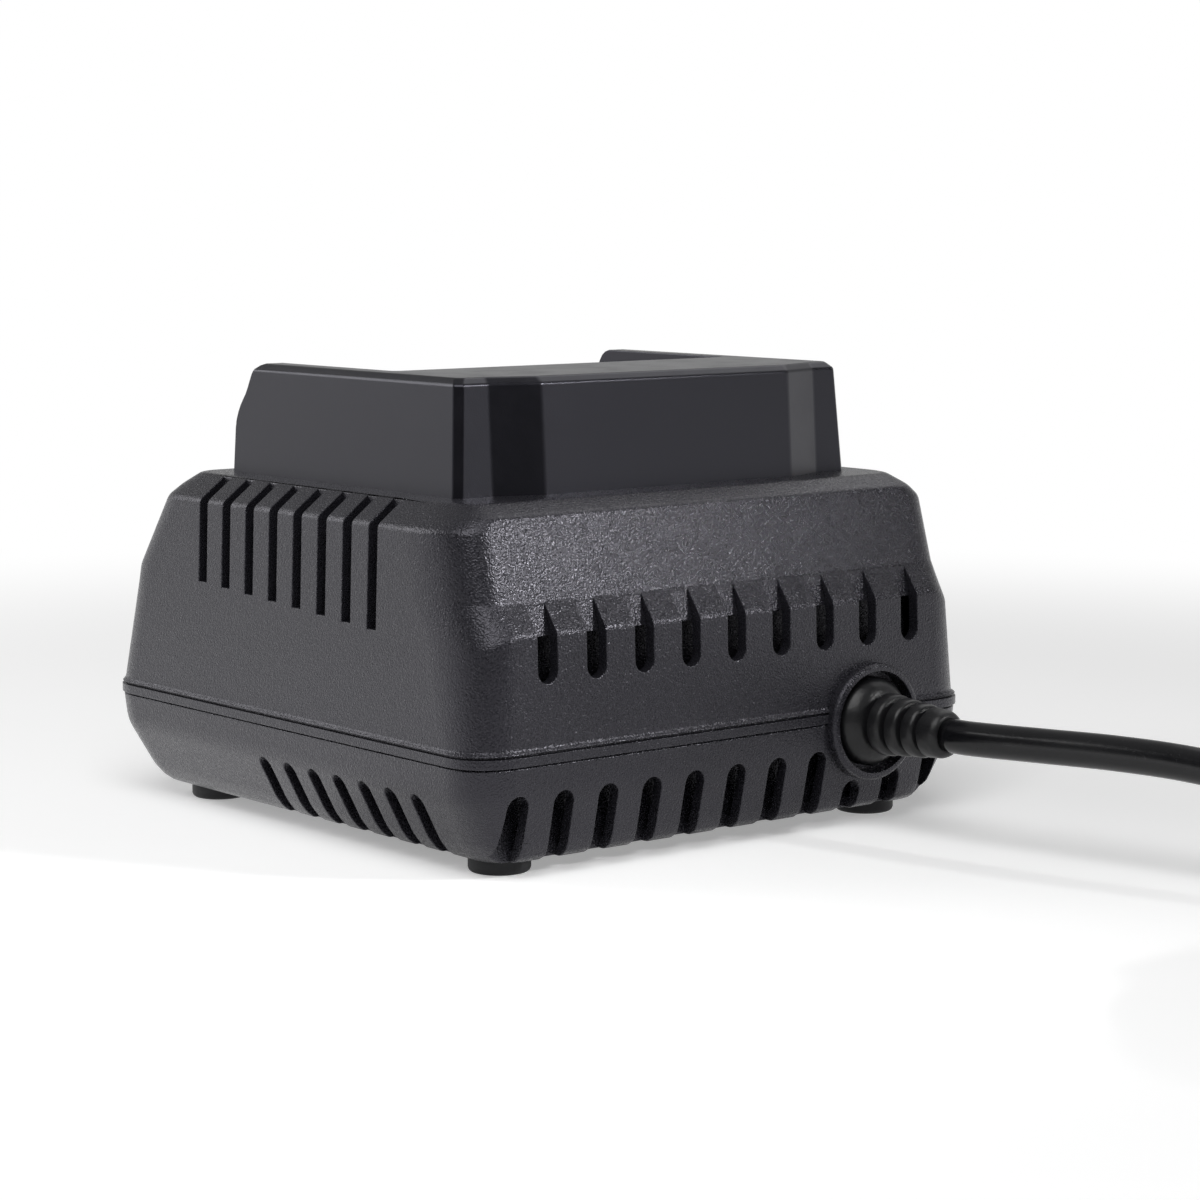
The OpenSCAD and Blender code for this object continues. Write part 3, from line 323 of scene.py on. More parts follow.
plug_pvc = soft_pvc("plug_pvc", 0.38, 0.3)
plug_face, plug_turn = (10, 246, 14.8), radians(90)
plug_w, plug_t, plug_l, plug_neck = 35, 17, 36, 14
sleeve_l, sleeve_ribs, rib_w, rib_deep = plug_neck * 0.62, 5, 1.1, 0.5
swell_from, swell_l = plug_neck * 0.66, (plug_l + plug_neck * 0.34) * 0.45
root_r, root_mid, body_power = 4.4, 5.6, 3.4
grip_from, grip_pitch, grips = swell_from + swell_l + 1.5, 2.6, 5


def plug_ring(y, half_w, half_t, mid, power, count=40):
    """An oval cross-section of the plug, squarer as the power grows."""
    ring = []
    for k in range(count):
        a = 2 * pi * k / count
        c, s = cos(a), sin(a)
        ring.append((
            half_w * abs(c) ** (2 / power) * (1 if c > 0 else -1), y,
            mid + half_t * abs(s) ** (2 / power) * (1 if s > 0 else -1),
        ))
    return ring


def skin(name, rings, looped=False):
    """A mesh over rings of as many points each, with closed ends or joined last to first."""
    n, last = len(rings[0]), len(rings) - 1
    faces = []
    for k in range(last + looped):
        here, after = k * n, (k + 1) % len(rings) * n
        faces += [(here + i, here + (i + 1) % n, after + (i + 1) % n, after + i) for i in range(n)]
    if not looped:
        faces += [tuple(reversed(range(n))), tuple(range(last * n, (last + 1) * n))]
    mesh = bpy.data.meshes.new(name)
    mesh.from_pydata([Vector(p) * MM for ring in rings for p in ring], [], faces)
    work = bmesh.new()
    work.from_mesh(mesh)
    bmesh.ops.recalc_face_normals(work, faces=work.faces)
    work.to_mesh(mesh)
    work.free()
    return mesh


plug_rings = []
for k in range(sleeve_ribs):
    y, r = sleeve_l * k / sleeve_ribs, cord_d / 2 + 0.6 * k / sleeve_ribs
    for along, sunk in ((0, 0), (rib_w, 0), (rib_w + 0.2, rib_deep)):
        plug_rings.append(plug_ring(y + along, r - sunk, r - sunk, cord_d / 2 + 0.35 * k, 2))
for t in (0, 0.08, 0.25, 0.5, 0.75, 0.92, 1):
    swell = sin(t * pi / 2) ** 0.7
    plug_rings.append(plug_ring(
        swell_from + swell_l * t, root_r + (plug_w / 2 - root_r) * swell,
        root_r + (plug_t / 2 - root_r) * swell, root_mid + (plug_t / 2 - root_mid) * swell,
        2 + (body_power - 2) * t,
    ))
body_steps = [
    (grip_from + k * grip_pitch + along, sunk)
    for k in range(grips) for along, sunk in ((0, 0), (0.4, 0.5), (1.2, 0.5), (1.6, 0))
]
face_round = ((1.6, 0), (0.8, 0.2), (0.25, 0.6), (0, 1.4))
body_steps += [(plug_neck + plug_l - back, sunk) for back, sunk in face_round]
for y, sunk in body_steps:
    plug_rings.append(plug_ring(y, plug_w / 2 - sunk, plug_t / 2 - sunk, plug_t / 2, body_power))
plug = shown("plug", skin("plug", plug_rings), plug_pvc)
plug.data.transform(Matrix.Translation(Vector(plug_face) * MM) @ Matrix.Rotation(plug_turn, 4, "Z"))
plug.data.shade_smooth()
plug.data.set_sharp_from_angle(angle=radians(50))
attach(plug, "charger")
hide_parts("plug_body")


def plated(name, colour, rough, grain):
    """Bright metal with fine drawing lines, dull spots and a slightly uneven plating."""
    made, pen, place = blank(name)
    spots = place.noise(500.0, 5.0)
    lines = place.noise(grain, 2.0)
    dull = tuple(c * 0.72 for c in colour)
    shade = pen.node("BsdfPrincipled", None, {
        "Base Color": spots.step(0.3, 0.7).tint(dull, colour),
        "Metallic": 1.0,
        "Roughness": spots.step(0.4, 0.75) * 0.2 + rough,
        "Normal": lines.bump(0.2, 0.0001),
    })
    pen.node("OutputMaterial", None, {0: shade})
    return made


def dressed(node, material):
    """Puts a finish on a solid whose shape stays as it is."""
    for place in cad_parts[node].material_slots:
        place.material = material
    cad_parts[node].data.shade_smooth()
    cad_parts[node].data.set_sharp_from_angle(angle=radians(32))


nickel = plated("nickel_plating", (0.66, 0.65, 0.62), 0.16, 4000.0)
dressed("plug_pins", nickel)


# ---------------------------------------------------------------- strain relief
# A soft black boot with a round flange that sits in the gland's recess. Its bell narrows to three
# collars and a plain sleeve, and it is moulded round the cord.

gland_x, gland_z = 38.3, 23.5
recess_floor, boot_end = 68.6, 94.0
boot_profile = [
    (54.8, 7.2), (67.1, 7.2), (67.1, 5.6), (68.8, 5.6), (68.8, 9.7), (70.6, 9.7), (71.2, 9.55),
    (71.9, 9.15), (72.9, 8.3), (73.7, 7.3), (74.2, 6.2), (74.4, 5.0), (74.6, 4.4), (75.3, 4.4),
    (75.5, 6.3), (75.9, 6.8), (77.9, 6.7), (78.5, 6.4), (78.8, 5.8), (78.9, 4.4), (80.0, 4.3),
    (80.1, 5.8), (80.5, 6.3), (82.5, 6.2), (83.1, 5.9), (83.4, 5.4), (83.5, 4.3), (84.6, 4.2),
    (84.7, 5.4), (85.1, 5.9), (87.1, 5.8), (87.7, 5.5), (88.0, 5.0), (88.1, 4.3), (88.9, 4.3),
    (89.0, 5.0), (89.4, 5.4), (92.4, 5.2), (93.2, 4.9), (93.7, 4.4), (boot_end, 3.9),
    (boot_end, 3.7),
]


def turned(name, profile, middle, sides=72):
    """A solid turned about an axis along y. The profile lists the place on it and the radius."""
    turn = [2 * pi * k / sides for k in range(sides)]
    rings = []
    for along, r in profile:
        rings.append([Vector((r * cos(a), along, r * sin(a))) + Vector(middle) for a in turn])
    mesh = skin(name, rings)
    mesh.shade_smooth()
    mesh.set_sharp_from_angle(angle=radians(40))
    return mesh


boot_rubber = soft_pvc("boot_rubber", 0.32, 0.6, (0.006, 0.006, 0.007))
boot_mesh = turned("strain_boot", boot_profile, (-gland_x, 0, gland_z))
boot = shown("strain_boot", boot_mesh, boot_rubber)
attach(boot, "charger")
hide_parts("strain_relief")


# ---------------------------------------------------------------- coil tie
# A narrow woven hook-and-loop strap, wrapped once round the bundle, holds the stored turns
# together.

tie_turn, tie_w, tie_t = radians(118), 12, 0.8
coil_in, coil_out, coil_top = coil_radii[2] - cord_d / 2, coil_radii[0] + cord_d / 2, 2 * cord_d
squareness = 0.42


def tie_loop(grow, low):
    """The strap's outline round the bundle of turns, seen along the turns."""
    middle, half, deep = (coil_in + coil_out) / 2, (coil_out - coil_in) / 2 + grow, coil_top / 2
    points = []
    for k in range(40):
        a = 2 * pi * k / 40
        c, s = cos(a), sin(a)
        u = middle + half * abs(c) ** squareness * (1 if c > 0 else -1)
        v = deep + (deep + grow) * abs(s) ** squareness * (1 if s > 0 else -1)
        points.append((u, max(v, low)))
    return points


def woven(name, base, light, thread):
    """Black woven strap: ribs of thread across it and a napped, very dull surface."""
    made, pen, place = blank(name)
    weave = {"Vector": place, "Scale": thread, "Distortion": 1.5}
    ribs = pen.node("TexWave", {"bands_direction": "DIAGONAL"}, weave)
    fluff = place.noise(2500.0, 3.0)
    relief = ribs * 0.6 + fluff * 0.6
    shade = pen.node("BsdfPrincipled", None, {
        "Base Color": (ribs * 0.5 + fluff * 0.5).tint(base, light),
        "Roughness": fluff * 0.15 + 0.8,
        "Normal": relief.bump(0.7, 0.0002),
        "Sheen Weight": 0.3,
    })
    pen.node("OutputMaterial", None, {0: shade})
    return made


inner_loop, outer_loop = tie_loop(0, 0.1), tie_loop(tie_t, 0.05)
tie_rings = []
for loop, edge in ((inner_loop, -1), (outer_loop, -1), (outer_loop, 1), (inner_loop, 1)):
    tie_rings.append([(u, edge * tie_w / 2, v) for u, v in loop])
strap_cloth = woven("strap_cloth", (0.01, 0.01, 0.011), (0.035, 0.035, 0.036), 900.0)
tie = shown("coil_tie", skin("coil_tie", tie_rings, looped=True), strap_cloth)
tie_place = Matrix.Translation(Vector((*coil_middle, 0)) * MM)
tie.data.transform(tie_place @ Matrix.Rotation(tie_turn, 4, "Z"))
tie.data.shade_smooth()
tie.data.set_sharp_from_angle(angle=radians(40))
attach(tie, "charger")


[p * MM for p in whole_cord]


# ---------------------------------------------------------------- upper housing
# The upper half of the case, injection moulded in dark grey ABS from a spark-eroded tool. Vent
# slots break its rear ledge and both shoulders, and a shallow belt runs round it above the
# parting line.

part_z, deck_z = 24.1, 75.6
# height, half width, front, rear, corner radius, the same along y at the rear, how far the rear
# corner dips, and how softly the edge there is rounded
upper_levels = [
    (part_z, 69.15, -70.15, 70.15, 10.65, 10.65, 0, 0), (24.3, 69.5, -70.5, 70.5, 11, 11, 0, 0.15),
    (26.15, 69.5, -70.5, 70.5, 11, 11, 0, 0.1), (26.25, 68.6, -69.6, 69.6, 10.1, 10.1, 0, 0.05),
    (26.6, 68.6, -69.6, 69.6, 10.1, 10.1, 0, 0.05), (26.7, 69.5, -70.5, 70.5, 11, 11, 0, 0.3),
    (27.5, 68.8, -69.7, 69.8, 10.3, 12, 0, 0.4), (50.2, 68.0, -64.197, 69.2, 10.3, 17, 2.5, 0.8),
    (53.915, 67.872, -63.3, 66.52, 10, 18, 1.2, 1.2), (56.3, 67.79, -61.65, 64.8, 10, 18, 0, 0.35),
    (70.5, 67.3, -51.8, 61.07, 10, 18, 0, 1.1), (73.05, 63.9, -50.4, 60.4, 9, 16, 0, 1.1),
    (deck_z, 60.5, -46.9, 55.5, 7, 12, 0, 0.9), (deck_z, 56.5, -43, 51.5, 4, 8, 0, 0),
]
upper_hollow = [
    (23.1, 66.3, -67.3, 67.3, 8.5), (49, 65.5, -60.8, 66.7, 7.5), (54.7, 65.3, -58.7, 62.0, 8.5),
    (68.9, 64.8, -48.3, 58.4, 8.5), (73.1, 60.2, -48.3, 55.0, 8),
]


def case_ring(z, x, front, rear, r, rear_ry=None, dip=0, steps=12):
    """One level of a case half: a rectangle with curved corners, deeper and dipping at the rear."""
    at_rear, at_front = (rear, 1, rear_ry or r, dip), (front, -1, r, 0)
    points = []
    for side, (end, way, ry, fall) in ((1, at_rear), (-1, at_rear), (-1, at_front), (1, at_front)):
        for i in range(steps + 1):
            t = i / steps if side == way else 1 - i / steps
            low = fall * sin(pi * i / steps)
            points.append((side * (x - r * t * t), end - way * ry * (1 - t) ** 2, z - low))
    return points


def eased_corner(a, b, c, t):
    """A point on the curve that leaves a towards b and reaches c."""
    return (1 - t) ** 2 * a + 2 * t * (1 - t) * b + t * t * c


def softened(levels, steps=4):
    """The same levels with the edge at each of them rounded by its last value."""
    made = [levels[0][:-1]]
    for before, here, after in zip(levels, levels[1:], levels[2:]):
        soft = here[-1]
        reach = []
        for other in (before, after):
            gap = [o - h for o, h in zip(other[:-1], here[:-1])]
            size = max(hypot(gap[0], g) for g in gap[1:4])
            reach.append([h + g * min(0.45, soft / size) for h, g in zip(here[:-1], gap)])
        for i in range(steps + 1):
            made.append(tuple(
                eased_corner(p, q, r, i / steps) for p, q, r in zip(reach[0], here[:-1], reach[1])
            ))
    return made + [levels[-1][:-1]]


def solids(name, parts, finish=1):
    """One mesh of several closed solids, each a list of rings in millimetres."""
    whole = bmesh.new()
    for rings in parts:
        whole.from_mesh(skin(name, rings))
    mesh = bpy.data.meshes.new(name)
    whole.to_mesh(mesh)
    whole.free()
    for face in mesh.polygons:
        face.material_index = finish
    return mesh


def slab(outline, axis, low, high):
    """Two rings that carry an outline from one place along an axis to another."""
    at = "xyz".index(axis)
    return [[(*point[:at], w, *point[at:]) for point in outline] for w in (low, high)]


def slot(at, half, end, mouth, steps=12):
    """The outline of a slot with a round end, open at its mouth."""
    way = 1 if mouth > end else -1
    turn = [pi * i / steps for i in range(steps + 1)]
    points = [(at - half * cos(a), end + way * half * (1 - sin(a))) for a in turn]
    return points + [(at + half, mouth), (at - half, mouth)]


def disc(u, v, r, steps=32):
    """The outline of a circle."""
    turn = [2 * pi * i / steps for i in range(steps)]
    return [(u + r * cos(a), v + r * sin(a)) for a in turn]


def box(u0, u1, v0, v1):
    """The outline of a rectangle."""
    return [(u0, v0), (u1, v0), (u1, v1), (u0, v1)]


def evaluated(piece):
    """The mesh of an object with its modifiers applied."""
    bpy.context.view_layer.update()
    graph = bpy.context.evaluated_depsgraph_get()
    return bpy.data.meshes.new_from_object(piece.evaluated_get(graph))


def carved(name, start, steps):
    """Adds solids to a mesh or takes them away, in turn."""
    body = shown(name, start)
    tools = []
    for operation, mesh in steps:
        tool = shown(name + "_tool", mesh)
        change = body.modifiers.new(operation, "BOOLEAN")
        change.operation, change.object = operation, tool
        change.solver, change.use_self = "EXACT", True
        tools.append(tool)
    made = evaluated(body)
    for used in [body] + tools:
        bpy.data.objects.remove(used)
    made.name = name
    return made


def rimmed(mesh, width):
    """Breaks the edges where a cut meets the outside of a moulding, as a polished tool does."""
    weld, flat, least_angle = 2e-6, radians(0.15), radians(25)
    work = bmesh.new()
    work.from_mesh(mesh)
    bmesh.ops.remove_doubles(work, verts=work.verts, dist=weld)
    bmesh.ops.dissolve_limit(
        work, angle_limit=flat, verts=work.verts, edges=work.edges, delimit={"MATERIAL"}
    )
    rims = [
        e for e in work.edges
        if e.is_manifold and len({face.material_index for face in e.link_faces}) == 2
        and e.calc_face_angle(0) > least_angle
    ]
    bmesh.ops.bevel(
        work, geom=rims, offset=width * MM, offset_type="OFFSET", segments=2, profile=0.5,
        affect="EDGES", clamp_overlap=False,
    )
    bmesh.ops.remove_doubles(work, verts=work.verts, dist=weld)
    work.to_mesh(mesh)
    work.free()
    for face in mesh.polygons:
        face.material_index = 0


def even_shading(piece):
    """Smooth shading whose highlights stay on the rounded edges and off the flat faces."""
    piece.data.shade_smooth()
    piece.data.set_sharp_from_angle(angle=radians(38))
    weigh = piece.modifiers.new("weigh", "WEIGHTED_NORMAL")
    weigh.keep_sharp = True
    made = evaluated(piece)
    piece.modifiers.clear()
    piece.data = made


def fitted(name, mesh, material, slot_name, *nodes):
    """A finished piece of the charger that stands for CAD nodes."""
    mesh.materials.clear()
    piece = shown(name, mesh, material)
    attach(piece, "charger")
    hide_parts(*nodes)
    return piece


# the boss round the gland, as places along the cord and radii, and how far the parting line lies
# above its middle
boss_profile = ((66, 12.8), (71.2, 12.8), (71.7, 12.7), (72.1, 12.4), (72.3, 11.9))
boss_rise = 0.6
# the hole through it, which takes the boot's inner flange, neck and outer flange in turn
inner_r, neck_r, flange_r, neck_from = 7.6, 5.8, 11.1, 67.3
hole_steps = (
    (50, inner_r), (neck_from, inner_r), (neck_from, neck_r), (recess_floor, neck_r),
    (recess_floor, flange_r), (76, flange_r),
)


def half_boss(top):
    """One half of the round boss round the gland: the part above or below the parting line."""
    rings = []
    for y, r in boss_profile:
        first = asin(boss_rise / r)
        a0, a1 = (first, pi - first) if top else (pi - first, 2 * pi + first)
        turn = [a0 + (a1 - a0) * i / 40 for i in range(41)]
        rings.append([(r * cos(a) - gland_x, y, r * sin(a) + gland_z) for a in turn])
    return rings


gland_hole = [[(u, y, v) for u, v in disc(-gland_x, gland_z, r, 64)] for y, r in hole_steps]
past_side, past_rear, past_deck = 73, 74, 80
ledge_pitch, ledge_half, ledge_end, ledge_mouth, ledge_back = 12.6, 2.45, 40.2, 62, 65.0
ledge_cuts = []
for i in range(9):
    outline = slot((i - 4) * ledge_pitch, ledge_half, ledge_end, ledge_mouth)
    ledge_cuts.append(slab(outline, "y", ledge_back, past_rear))
side_pitch, side_half, side_low, side_fall, side_in, fan_y = 9.2, 1.5, 50.8, 0.058, 60.9, 1
side_cuts = []
for side in (-1, 1):
    for i in range(8):
        y = fan_y + (i - 3.5) * side_pitch
        outline = box(y - side_half, y + side_half, side_low - side_fall * y, past_deck)
        side_cuts.append(slab(outline, "x", *sorted((side * side_in, side * past_side))))
# the upper front leans back by 11.5 mm over 16.585 mm, and the light pipes stand square to it
lean = atan2(11.5, 16.585)
light_x, light_y, light_z, light_r = 9, -57.55, 62.2, 2.5
light_in, light_out = -11, 6
light_holes = []
for side in (-1, 1):
    rings = []
    for out in (light_in, light_out):
        y, z = light_y - out * cos(lean), light_z + out * sin(lean)
        rings.append([
            (u, y + v * sin(lean), z + v * cos(lean)) for u, v in disc(side * light_x, 0, light_r)
        ])
    light_holes.append(rings)
# behind the vents: a baffle with a shelf at the rear, and on each side two ribs that hold the fan
baffle_half, baffle_front, baffle_rear, baffle_low, baffle_top = 56, 60.5, 62, 37.8, 54
rib_at, rib_half, rib_in, rib_out, rib_low, rib_top = 20.95, 0.75, 49.5, 59.5, 43, 74
post_x, post_y, post_r, post_top = 53.4, 27.5, 3.8, 74.5
baffle = box(baffle_front, baffle_rear, baffle_low, baffle_top)
inside = [slab(baffle, "x", -baffle_half, baffle_half)]
shelf_outline = [(62.2, 57.2), (64.5, 57.2), (66.55, 49.5), (65.1, 49.5)]
shelf = [slab(shelf_outline, "x", -baffle_half, baffle_half)]
for side in (-1, 1):
    rib_y = fan_y + side * rib_at
    rib = box(rib_in, rib_out, rib_y - rib_half, rib_y + rib_half)
    inside.append(slab(rib, "z", rib_low, rib_top))
    for y in (-post_y, post_y):
        inside.append(slab(disc(side * post_x, y, post_r), "z", part_z, post_top))
# the terminals' leads pass through the deck here
window_half, window_front, window_rear = 21, 15.7, 31.7
window = [slab(box(-window_half, window_half, window_front, window_rear), "z", 72, 78)]
upper_shell = solids("upper_case", [[case_ring(*level) for level in softened(upper_levels)]], 0)
upper_mesh = carved("upper_case", upper_shell, [
    ("DIFFERENCE", solids("hollow", [[case_ring(*level) for level in upper_hollow]])),
    ("UNION", solids("boss", [half_boss(True)], 0)),
    ("UNION", solids("inside", inside)),
    ("DIFFERENCE", solids("slots", ledge_cuts + side_cuts)),
    ("UNION", solids("shelf", shelf)),
    ("DIFFERENCE", solids("holes", [gland_hole] + light_holes + window)),
])
rimmed(upper_mesh, 0.3)


def spark_eroded(name, dark, light, rough, relief, cast=(0.91, 0.89, 1.0, 1)):
    """Moulded ABS with the fine, faintly glittering grain of a spark-eroded tool; the grain's
    crests are lightened in its colour as painted glints.
    """
    made, pen, place = blank(name)
    grain = place.noise(2600.0, 1.0)
    glint = place.noise(2300.0, 0.0)
    pits = pen.node("TexVoronoi", {"feature": "SMOOTH_F1"}, {"Vector": place, "Scale": 2100.0})
    cloud = place.noise(34.0, 5.0, Roughness=0.6)
    rub = place.noise(11.0, 7.0, Roughness=0.7)
    # the grain's highest crests lighten the base colour in small flecks: painted glints, not a
    # pigment
    painted_glint, worn = grain.step(0.62, 0.74), rub.step(0.55, 0.75)
    height = grain + pits * 0.5
    shade = pen.node("BsdfPrincipled", None, {
        "Base Color": (cloud * 0.6 + grain * 0.2 + painted_glint * 0.15).tint(dark, light),
        "Roughness": rough + glint.step(0.3, 0.7) * 0.16 + cloud * 0.06 - worn * 0.04,
        "Specular Tint": cast,
        "Normal": height.bump(relief, 0.00013),
    })
    pen.node("OutputMaterial", None, {0: shade})
    return made


case_abs = spark_eroded("case_abs", (0.007, 0.0068, 0.0085), (0.021, 0.0205, 0.026), 0.2, 1.0)
upper_case = fitted("upper_case", upper_mesh, case_abs, "housing", "upper_housing")
even_shading(upper_case)


# ---------------------------------------------------------------- lower housing
# The tray of the case, moulded in the same ABS. It narrows to a toe, and vent slots run down
# through its edge at the rear and along both sides, with a skirt behind them that keeps fingers
# out.

lower_levels = [
    (3.5, 55, -59, 60, 4, 0), (3.5, 59.6, -63.6, 64.6, 8, 0.7), (4.7, 61.3, -65.3, 66.6, 9.5, 0.8),
    (7.0, 63.2, -66.6, 67.5, 10, 1.2), (17.5, 68.6, -69.7, 69.8, 11, 2.0),
    (23.75, 69.2, -70.2, 70.2, 11, 0.15), (part_z, 68.8, -69.8, 69.8, 10.6, 0),
]
lower_hollow = [
    (6.0, 59.3, -63.6, 64.4, 7), (17.5, 66.1, -67.2, 67.3, 8.5), (29.1, 66.7, -67.7, 67.7, 8.5),
]
skirt_x, skirt_y, skirt_t, skirt_low, skirt_top = 58.8, 63.0, 1.5, 4.2, 19.4
skirt = [slab(box(*walls), "z", skirt_low, skirt_top) for walls in (
    (-skirt_x, skirt_x, skirt_y - skirt_t, skirt_y),
    (-skirt_x, skirt_x, -skirt_y, skirt_t - skirt_y),
    (skirt_x - skirt_t, skirt_x, 1 - skirt_y, skirt_y - 1),
    (-skirt_x, skirt_t - skirt_x, 1 - skirt_y, skirt_y - 1),
)]
bore_r, bore_top = 3.4, 14.1
foot_x, foot_front, foot_rear, recess_r, recess_top = 51.5, -51, 54.5, 6.6, 4.5
post_foot, seat_gap = 4.5, 0.1
posts, pockets = [], []
for side in (-1, 1):
    for y in (-post_y, post_y):
        posts.append(slab(disc(side * post_x, y, post_r), "z", post_foot, part_z - seat_gap))
        pockets.append(slab(disc(side * post_x, y, bore_r), "z", 0, bore_top))
    for y in (foot_front, foot_rear):
        pockets.append(slab(disc(side * foot_x, y, recess_r, 48), "z", 2.0, recess_top))
# the rear slots end at one height, except under the boss, where they end along its underside
low_pitch, low_half, low_end, low_mouth, boss_clear = 11.6, 2.5, 18.2, -2, 16.0
low_cuts = []
for i in range(11):
    x = (i - 5) * low_pitch
    end, from_boss = low_end, abs(x + gland_x)
    if from_boss < boss_clear - 1:
        end = min(end, gland_z + 2.5 - sqrt(boss_clear ** 2 - from_boss ** 2))
    low_cuts.append(slab(slot(x, low_half, end, low_mouth), "y", skirt_y, past_rear + 1))
flank_y, flank_pitch, flank_half, flank_end = 20, 9.3, 2.0, 16.7
for side in (-1, 1):
    for i in range(7):
        outline = slot(flank_y + (i - 3) * flank_pitch, flank_half, flank_end, low_mouth)
        low_cuts.append(slab(outline, "x", *sorted((side * skirt_x, side * past_side))))
lower_shell = solids("lower_case", [[case_ring(*level) for level in softened(lower_levels)]], 0)
lower_mesh = carved("lower_case", lower_shell, [
    ("DIFFERENCE", solids("hollow", [[case_ring(*level) for level in lower_hollow]])),
    ("UNION", solids("boss", [half_boss(False)], 0)),
    ("UNION", solids("skirt", skirt)),
    ("UNION", solids("posts", posts)),
    ("DIFFERENCE", solids("slots", low_cuts)),
    ("DIFFERENCE", solids("holes", [gland_hole] + pockets)),
])
rimmed(lower_mesh, 0.3)
lower_case = fitted("lower_case", lower_mesh, case_abs, "housing", "lower_housing")
even_shading(lower_case)


# ---------------------------------------------------------------- battery dock
# A U-shaped block moulded in smooth black ABS and screwed to the deck from inside. The battery
# slides in between its two walls, under the guide rails, and its rear wall carries a raised panel.

dock_half, dock_front, dock_rear = 54.5, -39.0, 48.4
panel_half, angled_half, pilaster_rear, corner_cut = 34.3, 45.3, 44.6, 1.5


def round_corners(points, radius, steps=4):
    """A closed outline with each corner rounded by its own radius."""
    made = []
    for k, (p, soft) in enumerate(zip(points, radius)):
        before, after = Vector(points[k - 1]), Vector(points[(k + 1) % len(points)])
        here = Vector(p)
        a = here + (before - here).normalized() * min(soft, 0.45 * (before - here).length)
        b = here + (after - here).normalized() * min(soft, 0.45 * (after - here).length)
        made += [tuple(eased_corner(a, here, b, i / steps)) for i in range(steps + 1)]
    return made


def dock_ring(z, inset):
    """One level of the dock's outer wall."""
    x, rear, side = dock_half - inset, dock_rear - inset, pilaster_rear - inset
    outline = [
        (-x, dock_front), (x, dock_front), (x, side - corner_cut), (x - corner_cut, side),
        (angled_half, side), (panel_half, rear), (-panel_half, rear), (-angled_half, side),
        (-x + corner_cut, side), (-x, side - corner_cut),
    ]
    soft = [0.4, 0.4, 0.35, 0.35, 0.5, 0.6, 0.6, 0.5, 0.35, 0.35]
    return [(u, v, z) for u, v in round_corners(outline, soft)]


dock_levels = [
    (deck_z, 0), (98.1, 1.44), (98.45, 1.52), (98.75, 1.68), (98.95, 1.9), (99.65, 2.6),
    (99.85, 2.85), (99.96, 3.1), (100, 3.4),
]
# what is cut away in front of the S-shaped ends of the two walls, seen from the side
knee = [
    (-44, 85.8), (-39, 85.8), (-38.75, 87.4), (-38.2, 89.0), (-37.4, 90.6), (-36.5, 91.9),
    (-35.6, 93.1), (-34.9, 94.4), (-34.2, 96), (-33.5, 97.5), (-32.6, 98.8), (-31.5, 99.6),
    (-30, 100.05), (-30, 104), (-44, 104),
]
past_top, past_walls = 106, 60
bay_half, bay_front, bay_rear, bay_floor = 46.5, -44, 12.0, 77.6
bay = round_corners(box(-bay_half, bay_half, bay_front, bay_rear), [0.1, 0.1, 2, 2])
rail_x, rail_half, rail_low, rail_high, rail_front, rail_rear = 45, 2.5, 93, 95.6, -31, 13
rails = [
    slab(box(x - rail_half, x + rail_half, rail_low, rail_high), "y", rail_front, rail_rear)
    for x in (-rail_x, rail_x)
]
dock_mesh = carved("dock", solids("dock", [[dock_ring(*level) for level in dock_levels]], 0), [
    ("DIFFERENCE", solids("bay", [slab(bay, "z", bay_floor, past_top)])),
    ("UNION", solids("rails", rails)),
    ("DIFFERENCE", solids("ends", [slab(knee, "x", -past_walls, past_walls)], 2)),
])
rimmed(dock_mesh, 0.35)


def satin_moulding(name, dark, light, rough, relief, cast=(1, 1, 1, 1)):
    """Smooth moulded plastic: a soft sheen, faint flow marks and fine rubbed scratches."""
    made, pen, place = blank(name)
    skin_grain = place.noise(3600.0, 1.0)
    flow = place.noise(26.0, 4.0, Distortion=0.6)
    rubbed = place.noise(90.0, 6.0, Roughness=0.75)
    height = skin_grain + flow * 0.4
    shade = pen.node("BsdfPrincipled", None, {
        "Base Color": (flow * 0.6 + skin_grain * 0.3).tint(dark, light),
        "Roughness": rough + rubbed.step(0.4, 0.7) * 0.05 + flow * 0.04,
        "Specular Tint": cast,
        "Normal": height.bump(relief, 0.00003),
    })
    pen.node("OutputMaterial", None, {0: shade})
    return made


dock_abs = satin_moulding(
    "dock_abs", (0.0013, 0.0013, 0.002), (0.0034, 0.0034, 0.005), 0.29, 0.5, (0.84, 0.83, 0.98, 1)
)
dock = fitted("dock", dock_mesh, dock_abs, "dock", "battery_dock")
even_shading(dock)


# ---------------------------------------------------------------- terminals
# A block of glass-filled nylon stands against the bay's rear wall. Its fins part the four plated
# blades that reach into the battery.

nylon_dark, nylon_light = (0.006, 0.006, 0.007), (0.02, 0.02, 0.021)
terminal_nylon = satin_moulding("terminal_nylon", nylon_dark, nylon_light, 0.42, 0.8)
block_half, block_low, block_high = 23.0, 77.6, 93.6
foot_high, foot_back, wall_front, wall_rear = 80.2, 10, 9, 12
fin_pitch, fin_half, fin_front, fin_rear, fin_low = 10.5, 1.2, -4, 11, 78
fins = []
for i in range(-2, 3):
    x = i * fin_pitch
    fin = box(x - fin_half, x + fin_half, fin_front, fin_rear)
    fins.append(slab(fin, "z", fin_low, block_high))
wall = [slab(box(-block_half, block_half, wall_front, wall_rear), "z", block_low, block_high)]
foot = [slab(box(-block_half, block_half, fin_front, foot_back), "z", block_low, foot_high)]
block_mesh = carved("terminal_block", solids("terminal_block", wall, 0), [
    ("UNION", solids("fins", fins, 0)),
    ("UNION", solids("foot", foot, 0)),
])
chamfer = bmesh.new()
chamfer.from_mesh(block_mesh)
bmesh.ops.dissolve_limit(
    chamfer, angle_limit=radians(0.5), verts=chamfer.verts, edges=chamfer.edges
)
